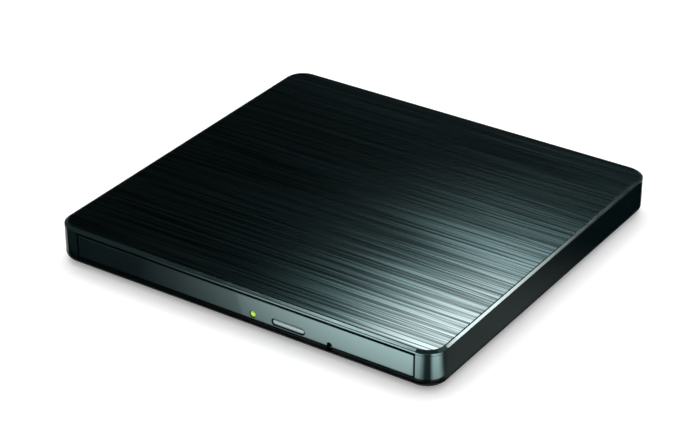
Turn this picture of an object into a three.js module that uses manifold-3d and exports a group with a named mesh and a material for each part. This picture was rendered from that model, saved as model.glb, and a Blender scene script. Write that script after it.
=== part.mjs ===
// Slim external DVD drive with a pull-out tray, in millimetres, +Z up.
// The front faces -Y. The origin is the centre of the footprint, on the ground.
import * as THREE from 'three';
import { mergeVertices } from 'three/addons/utils/BufferGeometryUtils.js';
import Module from 'manifold-3d';

const wasm = await Module();
wasm.setup();

// Facets of round shapes, as counts
const cornerSteps = 6;
const smallSides = 16;
const discSides = 72;

// Clearances shared by all pieces
const overrun = 1;
const seatGap = 0.1;
const runGap = 0.3;
const weldTolerance = 0.0001;

// The drive unit and the room that the case leaves round it
const driveWidth = 128;
const driveDepth = 126.1;
const driveHeight = 9.5;
const driveShift = 0.85;
const sideRoom = 6.5;
const rearBay = 9.9;
const roofRoom = 0.5;

// Case mouldings
const footProud = 1;
const floorThick = 1;
const roofThick = 1.2;
const caseWall = 1.5;
const cornerRadius = 7.2;
const underEdge = 2.4;
const seamGap = 0.2;
const bevelWidth = 1;
const bevelDrop = 0.45;
const rimInset = 0.3;
const rimDrop = 0.8;
const lipRampStart = 3.5;
const lipRampRun = 6;
const ribHeight = 0.7;
const ribWidth = 2;
const ribSpan = 110;
const ribFromCentre = 45;
const locatorHeight = 6;
const locatorLength = 10;
const locatorFromCentre = 30;
const locatorThick = 0.9;

// Brushed plate let into the roof
const plateThick = 0.5;
const plateLand = 0.15;
const plateGap = 0.15;
const plateEdge = 0.12;

// Case screws and their bosses
const screwFromSide = 4.8;
const screwFromEnd = 9.5;
const screwHeadRadius = 1.6;
const screwHeadHeight = 0.6;
const screwHeadSink = 0.5;
const screwRadius = 0.8;
const screwLength = 6;
const screwSeatThick = 0.8;
const screwPadRadius = 2.4;
const bossRadius = 1.9;
const holeGap = 0.15;

// Feet and label
const footRadius = 5;
const footSink = 0.45;
const footBevel = 0.4;
const footFromSide = 14;
const footFromEnd = 14.75;
const labelWidth = 62;
const labelDepth = 34;
const labelThick = 0.12;

// Drive pan and lid
const panSheet = 0.5;
const lidSheet = 0.35;
const lidFlange = 2.45;
const lidFlangeGap = 0.05;
const panFrontGap = 0.35;

// Rail guides and slide rails
const guideWeb = 0.8;
const guideReach = 1.9;
const guideFlange = 0.8;
const railHeight = 2.3;
const railThick = 2.25;
const railGap = 0.2;
const railFrontGap = 5.9;
const railRearGap = 1.85;
const guideFrontGap = 3.9;
const railAbovePan = 2.35;

// Flex cable and its connector
const flexBay = 1.1;
const flexWidth = 14;
const flexThick = 0.2;
const flexLift = 0.02;
const flexFromCentre = 28.85;
const flexBendFromCentre = 4.5;
const flexTailFromRear = 0.5;
const connectorWidth = 16;
const connectorHeight = 0.75;
const connectorDepth = 6.4;
const connectorFromRear = 5.15;
const connectorNotchGap = 1;
const connectorNotchHeight = 1.1;

// Tray moulding
const bezelDepth = 2.8;
const bezelSeam = 0.5;
const bezelTopGap = 0.7;
const traySide = 2.75;
const trayRearGap = 1.35;
const coverSheet = 0.3;
const lidClear = 0.45;
const recessDepth = 2.2;
const recessLand = 0.4;
const trayFloor = 1.2;
const trayWall = 2;
const traySideWall = 2.5;
const grooveDepth = 1.2;
const discFromFront = 64.5;
const lipGap = 0.3;
const trayCoverInset = 0.4;
const trayCoverSide = 0.6;

// Bezel, button, light and emergency hole
const bezelFront = 1.3;
const bezelEdge = 0.25;
const bezelCorner = 0.5;
const bezelRim = 1.2;
const bezelFoot = 0.4;
const buttonFromPinHole = 15.12;
const buttonWidth = 11.7;
const buttonHeight = 2.1;
const buttonGroove = 0.35;
const buttonAboveFoot = 1.75;
const buttonSink = 0.05;
const flangeWidth = 14.4;
const flangeRise = 2.15;
const flangeFall = 1.1;
const flangeThick = 0.75;
const stemWidth = 2.4;
const stemRise = 0.85;
const stemEnd = 4.5;
const lightFromButton = 13.27;
const lightAboveFoot = 1.83;
const lightRadius = 1;
const lightFlangeRadius = 1.35;
const lightFlangeThick = 0.6;
const lightEnd = 5.15;
const pinHoleFromLatch = 8.5;
const pinHoleWidth = 1.6;
const pinHoleRise = 0.6;
const pinHoleFall = 1.6;

// Traverse deck, turned to run the pickup towards the front left corner
const traverseTurn = 225;
const deckGap = 0.3;
const deckSheet = 0.5;
const deckInnerEnd = 22;
const deckHalf = 23.5;
const deckTaper = 12;
const deckRim = 2.5;
const deckTaperRim = 2;
const deckOuterRim = 3;
const deckOuterHalf = 11.5;
const deckEndRim = 1.5;
const deckEarRoot = 2;
const deckEarPast = 2.8;
const deckEarHalf = 3.6;
const windowInnerEnd = 12.1;
const damperFromEnd = 3.5;
const damperFromEdge = 5;
const damperFromCorner = 10.73;
const damperRadius = 2.6;
const damperTop = 1.65;
const damperNeckRadius = 1.6;
const damperBore = 1;
const damperFootRadius = 2.3;
const damperFootThick = 0.15;
const damperDeckGap = 0.05;
const bossTopRadius = 2.4;
const pinRadius = 0.7;
const pinEndGap = 0.15;

// Traverse cover plate
const platePlay = 0.4;
const coverBelowFloor = 0.05;
const coverInset = 3.5;
const coverInner = 18;
const coverInnerHalf = 9;
const coverNeck = 7;
const coverTaper = 9;
const coverFromDamper = 5;
const coverOuterHalf = 10;
const coverHubGap = 1.2;
const coverSlotHalf = 6.5;
const coverSlotRim = 2;

// Guide rods and their holders
const rodRadius = 1;
const rodFromEdge = 5;
const rodAboveDeck = 1;
const rodBoreGap = 0.3;
const rodStart = 8.5;
const rodPastShoulder = 2;
const holderInner = 9;
const holderFromEnd = 3;
const holderThick = 2.7;
const holderHalf = 3;
const holderRise = 2.4;
const rodSlotHalf = 1.6;

// Pickup, lens and rack
const lensRest = 23.5;
const pickupBack = 9;
const pickupNose = 8;
const pickupShoulder = 3;
const pickupFromRod = 4.5;
const pickupTaper = 5;
const pickupTop = 2.5;
const pickupUnder = 0.3;
const armBack = 11;
const armFront = 2;
const armPastRod = 2.2;
const wellHalfLong = 5.6;
const wellHalfWide = 5.1;
const wellFloor = 1.4;
const yokeHalfLong = 7.5;
const yokeHalfWide = 8;
const yokeRise = 0.7;
const holderPlay = 0.6;
const lensHolderRise = 0.05;
const lensHolderLift = 0.6;
const lensRadius = 2;
const lensSeat = 0.45;
const lensRise = 0.7;

// Sled motor, lead screw, bracket and rack
const screwFromDeck = 3.7;
const motorRadius = 3.2;
const motorHalfHeight = 1.5;
const motorBack = 1;
const motorFront = 11;
const bracketSheet = 0.5;
const bracketTab = 0.7;
const bracketReach = 2.8;
const bracketFrontGap = 1.4;
const bracketRise = 2.2;
const leadRadius = 0.9;
const leadStart = 11.2;
const rackBack = 10.5;
const rackFront = 7.5;
const rackGap = 0.2;
const rackReach = 2;
const rackUnder = 0.5;

// Spindle motor and turntable
const baseHalf = 11.6;
const basePlate = 0.45;
const statorRadius = 8.5;
const statorHeight = 1.6;
const bearingRadius = 3;
const bearingHeight = 2.3;
const shaftRadius = 0.8;
const rotorRadius = 11.8;
const rotorWall = 0.8;
const rotorUnder = 1.1;
const rotorRoof = 0.6;
const tableRadius = 13.8;
const tableThick = 0.7;
const padInner = 10.5;
const padThick = 0.2;
const padInset = 0.3;
const discFloat = 0.6;
const hubRadius = 7.4;
const hubHeight = 1.5;
const hubBevel = 0.4;
const clawCount = 3;
const clawTip = 7.9;
const clawRoot = 4.6;
const clawWidth = 2.4;
const clawRise = 0.6;
const clawHeight = 0.65;
const clawPlay = 0.3;
const clawRecess = 3.8;

// Latch, latch post and solenoid
const latchFromSide = 18.85;
const latchFromFront = 10.75;
const latchThick = 0.9;
const latchLift = 0.2;
const latchHubRadius = 2.6;
const latchPinRadius = 1;
const latchBossRadius = 1.8;
const latchArmReach = 9.8;
const latchArmHalf = 0.9;
const hookInner = 2.1;
const hookOuter = 4;
const hookReach = 10.8;
const hookTipDepth = 1.5;
const hookTipX = 0.8;
const postX = 0.5;
const postFromLatch = 8;
const postRadius = 1;
const postHeight = 2.6;
const postSlotHalf = 1.6;
const postSlotStart = 2.6;
const coilFromLatch = 7.3;
const coilWidth = 7;
const coilDepth = 6;
const coilHeight = 2.1;
const coilFromPivot = 4;
const coilWall = 1;
const plungerRadius = 0.8;
const plungerLength = 7.2;
const plungerFromLatch = 4.3;

// Control board, its parts and the light source
const boardThick = 0.8;
const boardCeilingGap = 0.1;
const boardSideGap = 1;
const boardFrontGap = 0.45;
const boardMotorGap = 1.1;
const boardPastLight = 17.26;
const boardSpringGap = 4.85;
const boardHoleGap = 0.3;
const switchWidth = 4.6;
const switchDepth = 3;
const switchHeight = 2.2;
const switchSetBack = 0.65;
const nubWidth = 1.6;
const nubDepth = 0.5;
const nubHeight = 1;
const lampSize = 2;
const lampSetBack = 0.55;
const chipSize = 9;
const chipHeight = 1.1;
const chipFromLatch = 9;
const chipFromFront = 29;
const partGap = 0.05;

// Kick-out plunger and its spring
const kickFromSide = 8.5;
const kickAboveCover = 1.5;
const kickRodHalfWidth = 1.2;
const kickRodHalfHeight = 0.9;
const kickHeadHalf = 1.4;
const kickHeadDepth = 1.5;
const kickHeadFromRear = 22.5;
const kickPastRear = 1;
const kickPlay = 0.3;
const kickGuideLength = 6.5;
const kickGuideHalf = 2.6;
const kickTongueRadius = 0.55;
const kickTongueLength = 16;
const springRadius = 1.15;
const springWire = 0.25;
const springTurns = 10;
const springStepsPerTurn = 8;
const springSides = 5;
const springLength = 19;
const springSeat = 2;

// Rear bay: bridge board, chip and USB socket
const bridgeWidth = 96;
const bridgeThick = 1;
const bridgeFrontGap = 0.95;
const bridgeRearGap = 0.35;
const bridgeLift = 2.5;
const standoffRadius = 2;
const standoffFromEnd = 5;
const bridgeChipSize = 6.4;
const bridgeChipHeight = 0.9;
const socketFromCentre = 30;
const socketWidth = 7.7;
const socketHeight = 3.9;
const socketDepth = 9;
const socketWall = 0.35;
const socketBevel = 1.1;
const socketSink = 0.15;
const socketBack = 0.6;
const socketPlay = 0.4;
const tongueWidth = 3.2;
const tongueThick = 0.8;
const tongueLength = 6.6;

// Levels and lines worked out from the values above
const caseWidth = driveWidth + 2 * (sideRoom + caseWall);
const caseDepth = driveDepth + rearBay + caseWall;
const caseBottom = footProud;
const floorTop = caseBottom + floorThick;
const panBottom = floorTop + ribHeight + seatGap;
const panTop = panBottom + panSheet;
const lidTop = panBottom + driveHeight;
const lidBottom = lidTop - lidSheet;
const roofUnder = lidTop + roofRoom;
const caseTop = roofUnder + roofThick;
const plateBottom = caseTop - plateThick;
const unitBottom = panTop + flexBay;
const trayBottom = unitBottom + coverSheet;
const rimTop = lidBottom - lidClear;
const recessFloor = rimTop - recessDepth;
const ceiling = recessFloor - trayFloor;
const lipTop = unitBottom - lipGap;
const bezelBottom = lipTop + seamGap;
const bezelTop = roofUnder - bezelTopGap;
const centreX = driveShift;
const frontY = -caseDepth / 2;
const rearY = caseDepth / 2;
const driveRear = frontY + driveDepth;
const panHalf = driveWidth / 2 - panSheet / 2;
const trayHalf = panHalf - traySide;
const trayFront = frontY + bezelDepth + seatGap;
const trayRear = driveRear - panSheet - trayRearGap;
const recessRadius = trayHalf - recessLand;
const discY = frontY + discFromFront;
const deckBottom = trayBottom + deckGap;
const deckTop = deckBottom + deckSheet;
const rodLevel = deckTop + rodAboveDeck;
const railBottom = panTop + railAbovePan;
const railTop = railBottom + railHeight;
const openingHalf = driveWidth / 2 + seatGap;
const bezelHalf = openingHalf - bezelSeam;
const pocketFront = trayFront + trayWall;
const pocketHalf = trayHalf - traySideWall;
const boardTop = ceiling - boardCeilingGap;
const boardBottom = boardTop - boardThick;
const latchX = centreX + trayHalf - latchFromSide;
const pinHoleX = latchX - pinHoleFromLatch;
const buttonX = pinHoleX - buttonFromPinHole;
const lightX = buttonX - lightFromButton;
const buttonLevel = bezelBottom + buttonAboveFoot;
const lightLevel = bezelBottom + lightAboveFoot;
const pinHoleTop = bezelBottom + pinHoleRise;
const latchY = frontY + latchFromFront;
const latchBottom = trayBottom + latchLift;
const latchTop = latchBottom + latchThick;
const postCentreX = latchX + postX;
const postY = latchY + postFromLatch;
const kickX = centreX + trayHalf - kickFromSide;
const kickLevel = trayBottom + kickAboveCover;
const springSeatY = trayRear - kickHeadFromRear - springLength - seatGap;

// Lines along and across the traverse, measured from the disc's centre
const nearerWall = Math.min(pocketHalf, discY - pocketFront);
const damperOuter = nearerWall * Math.SQRT2 - damperFromCorner;
const damperInner = deckInnerEnd - damperFromEnd;
const damperSide = deckHalf - damperFromEdge;
const deckOuterEnd = damperOuter - deckEarRoot;
const deckShoulder = deckOuterEnd - deckTaper;
const coverOuter = damperOuter - coverFromDamper;
const coverShoulder = coverOuter - coverTaper;
const coverHalf = deckHalf - coverInset;
const coverHubHole = tableRadius + coverHubGap;
const rodSide = deckHalf - rodFromEdge;
const rodEnd = deckShoulder + rodPastShoulder;
const armHalf = rodSide + armPastRod;
const pickupHalf = rodSide - pickupFromRod;
const screwSide = deckHalf + screwFromDeck;
const bracketOuter = screwSide + bracketReach;
const bracketEnd = (discY - pocketFront - bracketFrontGap) * Math.SQRT2 - bracketOuter;

// Closed shapes

function box(x0, x1, y0, y1, z0, z1) {
  const shape = new THREE.BoxGeometry(Math.abs(x1 - x0), Math.abs(y1 - y0), Math.abs(z1 - z0));
  return shape.translate((x0 + x1) / 2, (y0 + y1) / 2, (z0 + z1) / 2);
}

function sideBox(side, inner, outer, y0, y1, z0, z1) {
  return box(centreX + side * inner, centreX + side * outer, y0, y1, z0, z1);
}

function post(x, y, radius, z0, z1, sides = smallSides) {
  const shape = new THREE.CylinderGeometry(radius, radius, z1 - z0, sides);
  return shape.rotateX(Math.PI / 2).translate(x, y, (z0 + z1) / 2);
}

function barX(x0, x1, y, z, radius) {
  const shape = new THREE.CylinderGeometry(radius, radius, x1 - x0, smallSides);
  return shape.rotateZ(Math.PI / 2).translate((x0 + x1) / 2, y, z);
}

function barY(x, y0, y1, z, radius) {
  const shape = new THREE.CylinderGeometry(radius, radius, y1 - y0, smallSides);
  return shape.translate(x, (y0 + y1) / 2, z);
}

function outlineShape(points) {
  return new THREE.Shape(points.map(([u, v]) => new THREE.Vector2(u, v)));
}

// An outline that is the same on both sides of its long axis
function mirroredOutline(half) {
  return [...half, ...half.map(([a, c]) => [a, -c]).reverse()];
}

// A prism along Z over an outline in X and Y
function prism(points, z0, z1) {
  const options = { depth: z1 - z0, bevelEnabled: false };
  return new THREE.ExtrudeGeometry(outlineShape(points), options).translate(0, 0, z0);
}

// A prism along X over an outline in Y and Z
function prismX(points, x0, x1) {
  const turn = new THREE.Matrix4().makeBasis(
    new THREE.Vector3(0, 1, 0),
    new THREE.Vector3(0, 0, 1),
    new THREE.Vector3(1, 0, 0),
  );
  return prism(points, x0, x1).applyMatrix4(turn);
}

// A prism along Y over an outline in X and Z
function prismY(points, y0, y1) {
  const turn = new THREE.Matrix4().makeBasis(
    new THREE.Vector3(0, 0, 1),
    new THREE.Vector3(1, 0, 0),
    new THREE.Vector3(0, 1, 0),
  );
  return prism(points.map(([x, z]) => [z, x]), y0, y1).applyMatrix4(turn);
}

// A closed profile of radius and height, turned about a vertical axis at x, y
function turned(profile, x, y, sides = smallSides) {
  const points = profile.map(([radius, z]) => new THREE.Vector2(radius, z));
  return new THREE.LatheGeometry(points, sides).rotateX(Math.PI / 2).translate(x, y, 0);
}

// The points of a rectangle with round corners, anticlockwise
function roundedRing(halfX, halfY, radius, z) {
  const ring = [];
  const corners = [[1, 1], [-1, 1], [-1, -1], [1, -1]];
  corners.forEach(([sx, sy], quarter) => {
    for (let step = 0; step <= cornerSteps; step += 1) {
      const angle = (quarter + step / cornerSteps) * Math.PI / 2;
      const x = sx * (halfX - radius) + radius * Math.cos(angle);
      const y = sy * (halfY - radius) + radius * Math.sin(angle);
      ring.push([x, y, z]);
    }
  });
  return ring;
}

// A solid through rounded rectangles, one for each level of inset and height
function loft(levels, halfX, halfY, radius) {
  const rings = levels.map(([inset, z]) =>
    roundedRing(halfX - inset, halfY - inset, radius - inset, z));
  const count = rings[0].length;
  const points = rings.flat();
  const faces = [];
  for (let row = 0; row + 1 < rings.length; row += 1) {
    for (let i = 0; i < count; i += 1) {
      const next = (i + 1) % count;
      const low = row * count;
      const high = low + count;
      faces.push(low + i, low + next, high + next, low + i, high + next, high + i);
    }
  }
  const bottom = points.length;
  points.push([0, 0, levels[0][1]]);
  const top = points.length;
  points.push([0, 0, levels[levels.length - 1][1]]);
  const lastRow = (rings.length - 1) * count;
  for (let i = 0; i < count; i += 1) {
    const next = (i + 1) % count;
    faces.push(bottom, next, i, top, lastRow + i, lastRow + next);
  }
  const shape = new THREE.BufferGeometry();
  shape.setAttribute('position', new THREE.Float32BufferAttribute(points.flat(), 3));
  shape.setIndex(faces);
  return shape;
}

// Joining and cutting

function toSolid(piece) {
  if (piece instanceof wasm.Manifold) return piece;
  const bare = piece.clone();
  bare.deleteAttribute('normal');
  bare.deleteAttribute('uv');
  const merged = mergeVertices(bare, weldTolerance);
  return new wasm.Manifold(new wasm.Mesh({
    numProp: 3,
    vertProperties: new Float32Array(merged.getAttribute('position').array),
    triVerts: new Uint32Array(merged.getIndex().array),
  }));
}

function toGeometry(piece) {
  if (piece instanceof THREE.BufferGeometry) return piece;
  const mesh = piece.getMesh();
  const geometry = new THREE.BufferGeometry();
  geometry.setAttribute('position', new THREE.Float32BufferAttribute(mesh.vertProperties, 3));
  geometry.setIndex(new THREE.Uint32BufferAttribute(mesh.triVerts, 1));
  return geometry;
}

function join(first, ...others) {
  return others.reduce((sum, piece) => sum.add(toSolid(piece)), toSolid(first));
}

function cut(first, ...tools) {
  return tools.reduce((rest, tool) => rest.subtract(toSolid(tool)), toSolid(first));
}

function common(first, second) {
  return toSolid(first).intersect(toSolid(second));
}

// Finishes

function finish(color, roughness, metalness = 0) {
  return new THREE.MeshStandardMaterial({ color, roughness, metalness });
}

function addPiece(parent, name, piece, material) {
  const geometry = toGeometry(piece);
  const mesh = new THREE.Mesh(geometry, material);
  mesh.name = name;
  geometry.computeVertexNormals();
  parent.add(mesh);
  return mesh;
}

const drive = new THREE.Group();

// Outer form of the closed case, with its edge rounded under and its rim bevelled

const underSteps = 3;
const rimShare = 0.3;
const rimHeightShare = 0.55;

function caseForm() {
  const levels = [];
  for (let step = 0; step <= underSteps; step += 1) {
    const angle = (step / underSteps) * Math.PI / 2;
    levels.push([underEdge * (1 - Math.sin(angle)), caseBottom + underEdge * (1 - Math.cos(angle))]);
  }
  levels.push([0, caseTop - rimDrop]);
  const rimLevel = caseTop - bevelDrop - (rimDrop - bevelDrop) * (1 - rimHeightShare);
  levels.push([rimInset * rimShare, rimLevel]);
  levels.push([rimInset, caseTop - bevelDrop]);
  levels.push([bevelWidth, caseTop]);
  return loft(levels, caseWidth / 2, caseDepth / 2, cornerRadius);
}

function caseCavity(z0, z1) {
  const levels = [[0, z0], [0, z1]];
  const radius = cornerRadius - caseWall;
  return loft(levels, caseWidth / 2 - caseWall, caseDepth / 2 - caseWall, radius);
}

// All that lies below the seam, which is high across the front and drops behind the corners
function belowSeam(rise) {
  const rampStart = frontY + lipRampStart;
  const outline = [
    [frontY - overrun, -overrun],
    [rearY + overrun, -overrun],
    [rearY + overrun, floorTop + rise],
    [rampStart + lipRampRun, floorTop + rise],
    [rampStart, lipTop + rise],
    [frontY - overrun, lipTop + rise],
  ];
  return prismX(outline, -caseWidth / 2 - overrun, caseWidth / 2 + overrun);
}

const screwX = caseWidth / 2 - screwFromSide;
const screwY = caseDepth / 2 - screwFromEnd;
const footX = caseWidth / 2 - footFromSide;
const footY = caseDepth / 2 - footFromEnd;
const corners = [
  ['front_left', -1, -1],
  ['front_right', 1, -1],
  ['rear_left', -1, 1],
  ['rear_right', 1, 1],
];
const screwPadTop = caseBottom + screwHeadHeight + screwHeadSink + seatGap + screwSeatThick;
const screwHeadTop = caseBottom + screwHeadHeight + screwHeadSink;
const bridgeBottom = floorTop + bridgeLift + seatGap;
const bridgeTop = bridgeBottom + bridgeThick;
const bridgeFront = driveRear + bridgeFrontGap;
const bridgeRear = rearY - caseWall - bridgeRearGap;
const socketX = centreX - socketFromCentre;
const socketBottom = bridgeTop + seatGap;

// Bottom cover: floor, front lip, ribs and screw seats in one moulding

function bottomCover() {
  const shell = cut(common(caseForm(), belowSeam(0)), caseCavity(floorTop, caseTop));
  const additions = [];
  for (const end of [-1, 1]) {
    const y = end * ribFromCentre;
    const halfSpan = ribSpan / 2;
    additions.push(box(
      centreX - halfSpan, centreX + halfSpan, y - ribWidth / 2, y + ribWidth / 2,
      caseBottom + floorThick / 2, floorTop + ribHeight,
    ));
    additions.push(post(
      end * (bridgeWidth / 2 - standoffFromEnd), (bridgeFront + bridgeRear) / 2, standoffRadius,
      caseBottom + floorThick / 2, floorTop + bridgeLift,
    ));
    for (const side of [-1, 1]) {
      const inner = panHalf + runGap;
      const middle = end * locatorFromCentre;
      additions.push(sideBox(
        side, inner, inner + locatorThick, middle - locatorLength / 2, middle + locatorLength / 2,
        caseBottom + floorThick / 2, floorTop + locatorHeight,
      ));
    }
  }
  const cuts = [];
  for (const [, sx, sy] of corners) {
    additions.push(post(
      sx * screwX, sy * screwY, screwPadRadius, caseBottom + floorThick / 2, screwPadTop,
    ));
    cuts.push(post(
      sx * screwX, sy * screwY, screwHeadRadius + holeGap, caseBottom - overrun,
      screwHeadTop + seatGap,
    ));
    cuts.push(post(
      sx * screwX, sy * screwY, screwRadius + holeGap, caseBottom, screwPadTop + overrun,
    ));
    cuts.push(post(
      sx * footX, sy * footY, footRadius + holeGap, caseBottom - overrun,
      caseBottom + footSink + seatGap / 2,
    ));
  }
  cuts.push(box(
    pinHoleX - pinHoleWidth / 2, pinHoleX + pinHoleWidth / 2,
    frontY - overrun, frontY + caseWall + overrun, lipTop - pinHoleFall, lipTop + overrun,
  ));
  return cut(join(shell, ...additions), ...cuts);
}

const blackPlastic = finish('#141716', 0.35);
addPiece(drive, 'bottom_cover', bottomCover(), blackPlastic);

// Top cover: roof, walls and screw bosses, open at the front for the bezel

function topCover() {
  const plateInset = bevelWidth + plateLand;
  const plateRecess = loft(
    [[plateInset, plateBottom], [plateInset, caseTop + overrun]],
    caseWidth / 2, caseDepth / 2, cornerRadius,
  );
  const shell = cut(
    caseForm(),
    belowSeam(seamGap),
    caseCavity(-overrun, roofUnder),
    plateRecess,
    box(
      centreX - openingHalf, centreX + openingHalf, frontY - overrun,
      frontY + caseWall + overrun, caseBottom, roofUnder,
    ),
    box(
      socketX - socketWidth / 2 - socketPlay, socketX + socketWidth / 2 + socketPlay,
      rearY - caseWall - overrun, rearY + overrun,
      socketBottom - socketPlay, socketBottom + socketHeight + socketPlay,
    ),
  );
  const bosses = corners.map(([, sx, sy]) => post(
    sx * screwX, sy * screwY, bossRadius, screwPadTop + seatGap, roofUnder + roofThick / 4,
  ));
  const pilots = corners.map(([, sx, sy]) => post(
    sx * screwX, sy * screwY, screwRadius + holeGap, caseBottom,
    screwHeadTop + screwLength + overrun / 2,
  ));
  return cut(join(shell, ...bosses), ...pilots);
}

addPiece(drive, 'top_cover', topCover(), finish('#1d2321', 0.22));

// Brushed plate, let into the roof

function topPlate() {
  const inset = bevelWidth + plateLand + plateGap;
  const levels = [
    [inset, plateBottom],
    [inset, caseTop - plateEdge],
    [inset + plateEdge, caseTop],
  ];
  return loft(levels, caseWidth / 2, caseDepth / 2, cornerRadius);
}

addPiece(drive, 'top_plate', topPlate(), finish('#39403d', 0.4, 0.9));

// Feet, case screws and the bare label

const rubber = finish('#0c0d0d', 0.8);
const zincSteel = finish('#b9bcbb', 0.35, 1);

for (const [place, sx, sy] of corners) {
  const foot = turned([
    [0, 0],
    [footRadius - footBevel, 0],
    [footRadius, footBevel],
    [footRadius, caseBottom + footSink],
    [0, caseBottom + footSink],
  ], sx * footX, sy * footY);
  addPiece(drive, `foot_${place}`, foot, rubber);
  const screw = join(
    post(sx * screwX, sy * screwY, screwHeadRadius, caseBottom + screwHeadSink, screwHeadTop),
    post(
      sx * screwX, sy * screwY, screwRadius, screwHeadTop - screwHeadHeight / 2,
      screwHeadTop + screwLength,
    ),
  );
  addPiece(drive, `case_screw_${place}`, screw, zincSteel);
}

addPiece(drive, 'label_plate', box(
  -labelWidth / 2, labelWidth / 2, -labelDepth / 2, labelDepth / 2,
  caseBottom - labelThick, caseBottom,
), finish('#c9ccca', 0.6));

// Drive pan: folded sheet steel, open at the front

const sheetSteel = finish('#9fa3a2', 0.38, 1);
const panFront = frontY + caseWall + panFrontGap;
const foldFront = trayFront + seatGap;
const connectorFront = driveRear - connectorFromRear;
const flexX = centreX - flexFromCentre;

function drivePan() {
  const walls = [-1, 1].map((side) => sideBox(
    side, panHalf - panSheet, panHalf, foldFront, driveRear, panBottom, lidBottom,
  ));
  const shell = join(
    box(centreX - panHalf, centreX + panHalf, panFront, driveRear, panBottom, panTop),
    box(centreX - panHalf, centreX + panHalf, driveRear - panSheet, driveRear, panBottom, lidBottom),
    ...walls,
  );
  const notchHalf = connectorWidth / 2 + connectorNotchGap;
  return cut(shell, box(
    flexX - notchHalf, flexX + notchHalf, driveRear - panSheet - overrun / 2, driveRear + overrun,
    panTop, panTop + connectorNotchHeight,
  ));
}

addPiece(drive, 'drive_pan', drivePan(), sheetSteel);

// Drive lid: a flat sheet with a flange down each side

function driveLid() {
  const inner = panHalf + lidFlangeGap;
  const outer = inner + lidSheet;
  const flanges = [-1, 1].map((side) => sideBox(
    side, inner, outer, foldFront, driveRear, lidBottom - lidFlange, lidTop,
  ));
  const roof = box(
    centreX - outer, centreX + outer, foldFront, driveRear, lidBottom, lidTop,
  );
  return join(roof, ...flanges);
}

addPiece(drive, 'drive_lid', driveLid(), sheetSteel);

// Rail guides, fixed in the pan, and the steel rails that slide in them and in the tray

const railOuter = panHalf - panSheet - guideWeb - railGap;
const railInner = railOuter - railThick;
const guidePlastic = finish('#2b2d2c', 0.5);

for (const [place, side] of [['left', -1], ['right', 1]]) {
  const guideOuter = panHalf - panSheet;
  const guideFront = frontY + bezelDepth + guideFrontGap;
  const guide = cut(
    sideBox(
      side, guideOuter - guideReach, guideOuter, guideFront, trayRear - railRearGap / 2,
      panTop, railTop + railGap + guideFlange,
    ),
    sideBox(
      side, guideOuter - guideReach - overrun, guideOuter - guideWeb,
      guideFront - overrun, trayRear + overrun, railBottom - railGap, railTop + railGap,
    ),
  );
  addPiece(drive, `rail_guide_${place}`, guide, guidePlastic);
  const rail = sideBox(
    side, railInner, railOuter, frontY + bezelDepth + railFrontGap, trayRear - railRearGap,
    railBottom, railTop,
  );
  addPiece(drive, `slide_rail_${place}`, rail, zincSteel);
}

// Flex cable: one loop between the pan's connector and the tray's underside

function flexCable() {
  const low = panTop + flexLift;
  const high = unitBottom - 2 * flexLift;
  const middle = (low + high) / 2;
  const outerRadius = (high - low) / 2;
  const bend = -flexBendFromCentre + outerRadius;
  const outline = [[connectorFront - runGap, low]];
  const arcSteps = 8;
  for (let step = 0; step <= arcSteps; step += 1) {
    const angle = -Math.PI / 2 - (step / arcSteps) * Math.PI;
    outline.push([bend + outerRadius * Math.cos(angle), middle + outerRadius * Math.sin(angle)]);
  }
  outline.push([trayRear - flexTailFromRear, high]);
  outline.push([trayRear - flexTailFromRear, high - flexThick]);
  const innerRadius = outerRadius - flexThick;
  for (let step = 0; step <= arcSteps; step += 1) {
    const angle = Math.PI / 2 + (step / arcSteps) * Math.PI;
    outline.push([bend + innerRadius * Math.cos(angle), middle + innerRadius * Math.sin(angle)]);
  }
  outline.push([connectorFront - runGap, low + flexThick]);
  return prismX(outline, flexX - flexWidth / 2, flexX + flexWidth / 2);
}

addPiece(drive, 'flex_cable', flexCable(), finish('#a86a2a', 0.45));

addPiece(drive, 'flex_connector', box(
  flexX - connectorWidth / 2, flexX + connectorWidth / 2, connectorFront,
  connectorFront + connectorDepth, panTop, panTop + connectorHeight,
), finish('#d8d2c0', 0.5));

// The traverse's own frame: X runs outwards along the pickup's travel, Y across it

const traversePlace = new THREE.Matrix4()
  .makeTranslation(centreX, discY, 0)
  .multiply(new THREE.Matrix4().makeRotationZ(traverseTurn * Math.PI / 180));

const damperPlaces = [
  [-damperInner, -damperSide],
  [-damperInner, damperSide],
  [damperOuter, 0],
];

// The cover plate's outline, grown by the given margin
function coverOutline(margin) {
  return mirroredOutline([
    [-coverInner - margin, coverInnerHalf + margin / 2],
    [-coverNeck - margin / 2, coverHalf + margin],
    [coverShoulder + margin / 2, coverHalf + margin],
    [coverOuter + margin, coverOuterHalf + margin / 2],
  ]);
}

// Tray moulding: disc recess on top, a pocket for the traverse and board below

const damperSeat = deckTop + damperDeckGap + damperTop + seatGap;

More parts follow.
